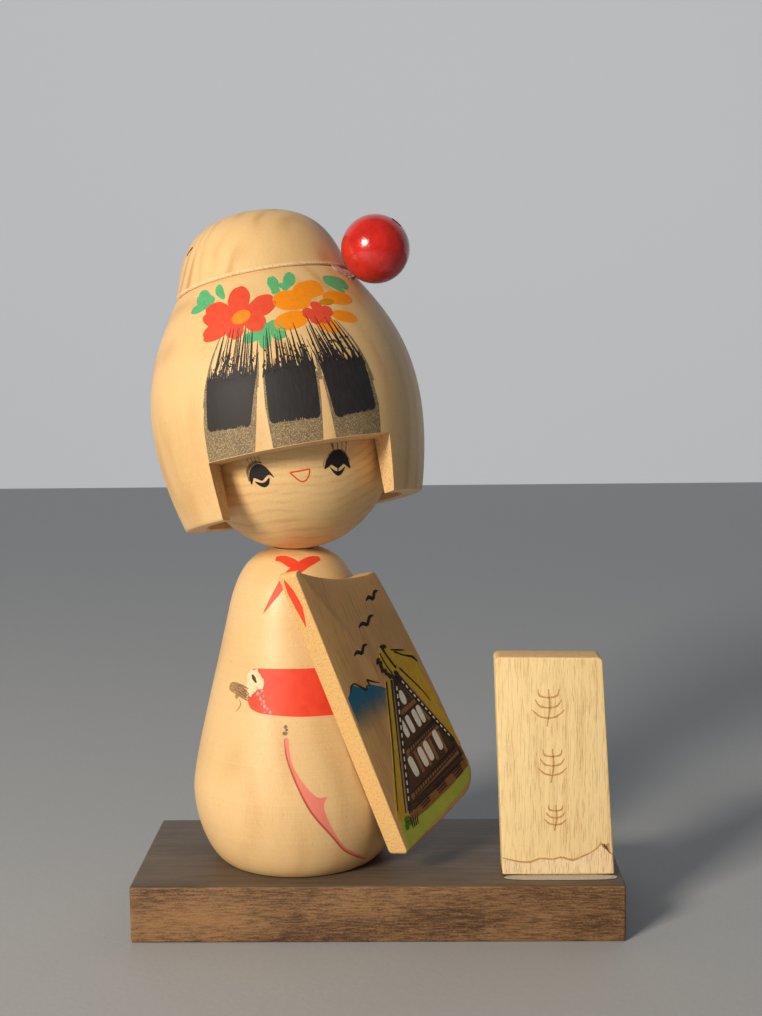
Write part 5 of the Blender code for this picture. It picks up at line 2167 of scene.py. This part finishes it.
@dataclass
class HairBead:
    """The lacquered bead and its pin.

    Attributes:
        radius: The bead's radius.
        out: Distance of its middle from the head's axis.
        up: Height of its middle.
        azimuth: Direction of its middle, in degrees.
        slope: Slope of its pin, in degrees.
        pin_radius: Radius of the pin.
        pin_length: Its length.
        pin_head: Radius of its head.
        pin_sink: How far its head is sunk in the bead.
    """

    radius: float = 8.4
    out: float = 31.5
    up: float = 43.9
    azimuth: float = -29.5
    slope: float = 36.0
    pin_radius: float = 0.6
    pin_length: float = 22.0
    pin_head: float = 1.3
    pin_sink: float = 0.4

    def frame(self) -> Matrix:
        """The bead's frame: its middle, with Z out along the pin."""
        angle, slope = math.radians(self.azimuth), math.radians(self.slope)
        outward = Vector((math.cos(angle), math.sin(angle), 0.0))
        middle = outward * self.out + Vector((0.0, 0.0, self.up))
        along = outward * math.cos(slope) + Vector((0.0, 0.0, math.sin(slope)))
        turn = along.to_track_quat("Z", "Y").to_matrix().to_4x4()
        return head_frame() @ Matrix.Translation(middle * MM) @ turn

    def build(self) -> None:
        """Build the bead, its pin and the glue under it."""
        place = self.frame()
        bore, recess = self.pin_radius + GAP, self.pin_head + GAP
        step = self.radius - self.pin_sink - 0.5 - GAP
        start, end = math.acos(recess / self.radius), -math.acos(bore / self.radius)
        profile = arc(self.radius, start, end, 64)
        profile += [(bore, step), (recess, step), profile[0]]
        bead = turned("lacquered_bead", profile, 96)
        set_down(bead, place)
        dress(bead, Lacquer().make(place))
        hand_over(bead, Body.HEAD, Slot.LACQUER, "hair_bead")
        top = self.radius - self.pin_sink
        tip = top - self.pin_length
        pin = [(0.0, top), (self.pin_head - 0.15, top), (self.pin_head, top - 0.15),
            (self.pin_head, top - 0.45)]
        pin += [(self.pin_radius, top - 0.5), (self.pin_radius, tip + 1.5), (0.0, tip)]
        nail = set_down(turned("bead_nail", pin, SMALL_STEPS), place)
        dress(nail, Steel("pin_steel").make(place))
        hand_over(nail, Body.HEAD, Slot.STEEL, "bead_pin")
        self.smear_glue()

    def smear_glue(self) -> None:
        """Smear the glue that ran out along the knot's foot under the bead."""
        side = TurnedSurface(HairBob().side(), BOB_REFERENCE)
        dabs = [blob((26.6 + 1.7 * i, 40.9 - 0.55 * i), 3.2, 2.4 - 0.2 * i,
            12.0 * i - 10.0) for i in range(4)]
        paint_on("glue_smear", dabs, side, 14, PINK_GLUE, head_frame(), Body.HEAD, 0.7)


# ---------------------------------------------------------------------------------------------
# Studio
# ---------------------------------------------------------------------------------------------


@dataclass
class Studio:
    """Camera, lights and floor.

    Attributes:
        eye: The camera's place, mm.
        pitch: How far it looks down, in degrees.
        yaw: How far it looks to the right, in degrees.
        roll: How far it is turned anticlockwise, in degrees.
        lens: Its focal length on a sensor as high as the picture.
        sensor: The sensor's height.
        backdrop: How far behind the doll the backdrop hangs, in metres.
        target: Where the lights point, mm.
    """

    eye: tuple[float, float, float] = (8.45, -374.26, 145.64)
    pitch: float = 6.5
    yaw: float = -1.07
    roll: float = 0.6
    lens: float = 53.15
    sensor: float = 36.0
    backdrop: float = 1.1
    target: tuple[float, float, float] = (-10.0, 0.0, 95.0)

    def build(self) -> None:
        """Set the studio up."""
        self.place_camera()
        self.hang_light("key_light", -36.0, 22.0, 0.95, 0.24, 9.6, (1.0, 0.9, 0.76))
        self.lay_floor()
        self.hang_backdrop()
        world = bpy.data.worlds.new("studio_air")
        bpy.context.scene.world = world
        world.use_nodes = True
        air = world.node_tree.nodes["Background"]
        air.inputs["Color"].default_value = (0.78, 0.8, 0.84, 1.0)
        air.inputs["Strength"].default_value = 0.13
        bpy.context.scene.view_settings.view_transform = "Standard"

    def place_camera(self) -> None:
        """Stand the camera in front of the doll."""
        pitch, yaw, roll = (math.radians(a) for a in (self.pitch, self.yaw, self.roll))
        ahead = Vector((math.sin(yaw) * math.cos(pitch), math.cos(yaw) * math.cos(pitch), -math.sin(pitch)))
        level = Vector((math.cos(yaw), -math.sin(yaw), 0.0))
        upright = level.cross(ahead)
        right = level * math.cos(roll) - upright * math.sin(roll)
        up = upright * math.cos(roll) + level * math.sin(roll)
        turn = Matrix((right, up, -ahead)).transposed().to_4x4()
        data = bpy.data.cameras.new("camera")
        data.sensor_fit = "VERTICAL"
        data.sensor_height = self.sensor
        data.lens = self.lens
        camera = bpy.data.objects.new("camera", data)
        camera.matrix_world = Matrix.Translation(Vector(self.eye) * MM) @ turn
        bpy.context.scene.collection.objects.link(camera)
        bpy.context.scene.camera = camera

    def hang_light(
        self, name: str, azimuth: float, height: float, distance: float, size: float, power: float,
            colour: Colour
    ) -> None:
        """Hang one soft light that points at the doll.

        Args:
            name: Its name.
            azimuth: Its direction in degrees, 0 in front, positive to the right.
            height: Its elevation in degrees.
            distance: Its distance in metres.
            size: Its width in metres.
            power: Its power in watts.
            colour: Its colour.
        """
        side, lift = math.radians(azimuth), math.radians(height)
        away = Vector((math.sin(side) * math.cos(lift), -math.cos(side) * math.cos(lift), math.sin(lift)))
        data = bpy.data.lights.new(name, "AREA")
        data.size = size
        data.energy = power
        data.color = colour
        light = bpy.data.objects.new(name, data)
        light.location = Vector(self.target) * MM + away * distance
        light.rotation_euler = away.to_track_quat("Z", "Y").to_euler()
        bpy.context.scene.collection.objects.link(light)

    def lay_floor(self) -> None:
        """Lay the plain pale floor."""
        start_clean()
        bpy.ops.mesh.primitive_grid_add(x_subdivisions=8, y_subdivisions=8, size=6.0)
        floor = name_piece("floor")
        recipe = Recipe("floor_paper", Matrix.Identity(4))
        tooth = recipe.noise((1.5, 1.5, 1.5), 3.0, 0.6)
        colour = recipe.mix(tooth, swatch(180, 183, 187), swatch(170, 173, 177))
        recipe.bump(tooth, 0.05)
        dress(floor, recipe.finish(colour, 0.6 + tooth * 0.1))

    def hang_backdrop(self) -> None:
        """Hang a softly glowing pale backdrop well behind the doll."""
        start_clean()
        bpy.ops.mesh.primitive_grid_add(x_subdivisions=4, y_subdivisions=4, size=1.0)
        backdrop = name_piece("backdrop")
        backdrop.scale = (5.0, 2.4, 1.0)
        backdrop.rotation_euler.x = math.pi / 2.0
        backdrop.location = (0.0, self.backdrop, 1.2)
        recipe = Recipe("backdrop_paper", Matrix.Identity(4))
        cloud = recipe.noise((700.0, 700.0, 500.0), 2.0, 0.5)
        glow = recipe.mix(cloud, swatch(146, 149, 152), swatch(172, 175, 178))
        paper = recipe.mix(cloud, swatch(146, 148, 152), swatch(156, 158, 162))
        dress(backdrop, recipe.finish(paper, 0.9 - cloud * 0.1, Emission_Color=glow, Emission_Strength=1.0))


def main() -> None:
    """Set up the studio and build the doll."""
    logging.basicConfig(level=logging.INFO, format="%(name)s: %(message)s")
    Studio().build()
    for part in (Plinth(), DollBody(), SleeveBoard(), SignBoard(), FaceBall(), HairBob(), TopKnot(),
        HairBead()):
        LOG.info("building %s", type(part).__name__)
        part.build()


if __name__ == "__main__":
    main()
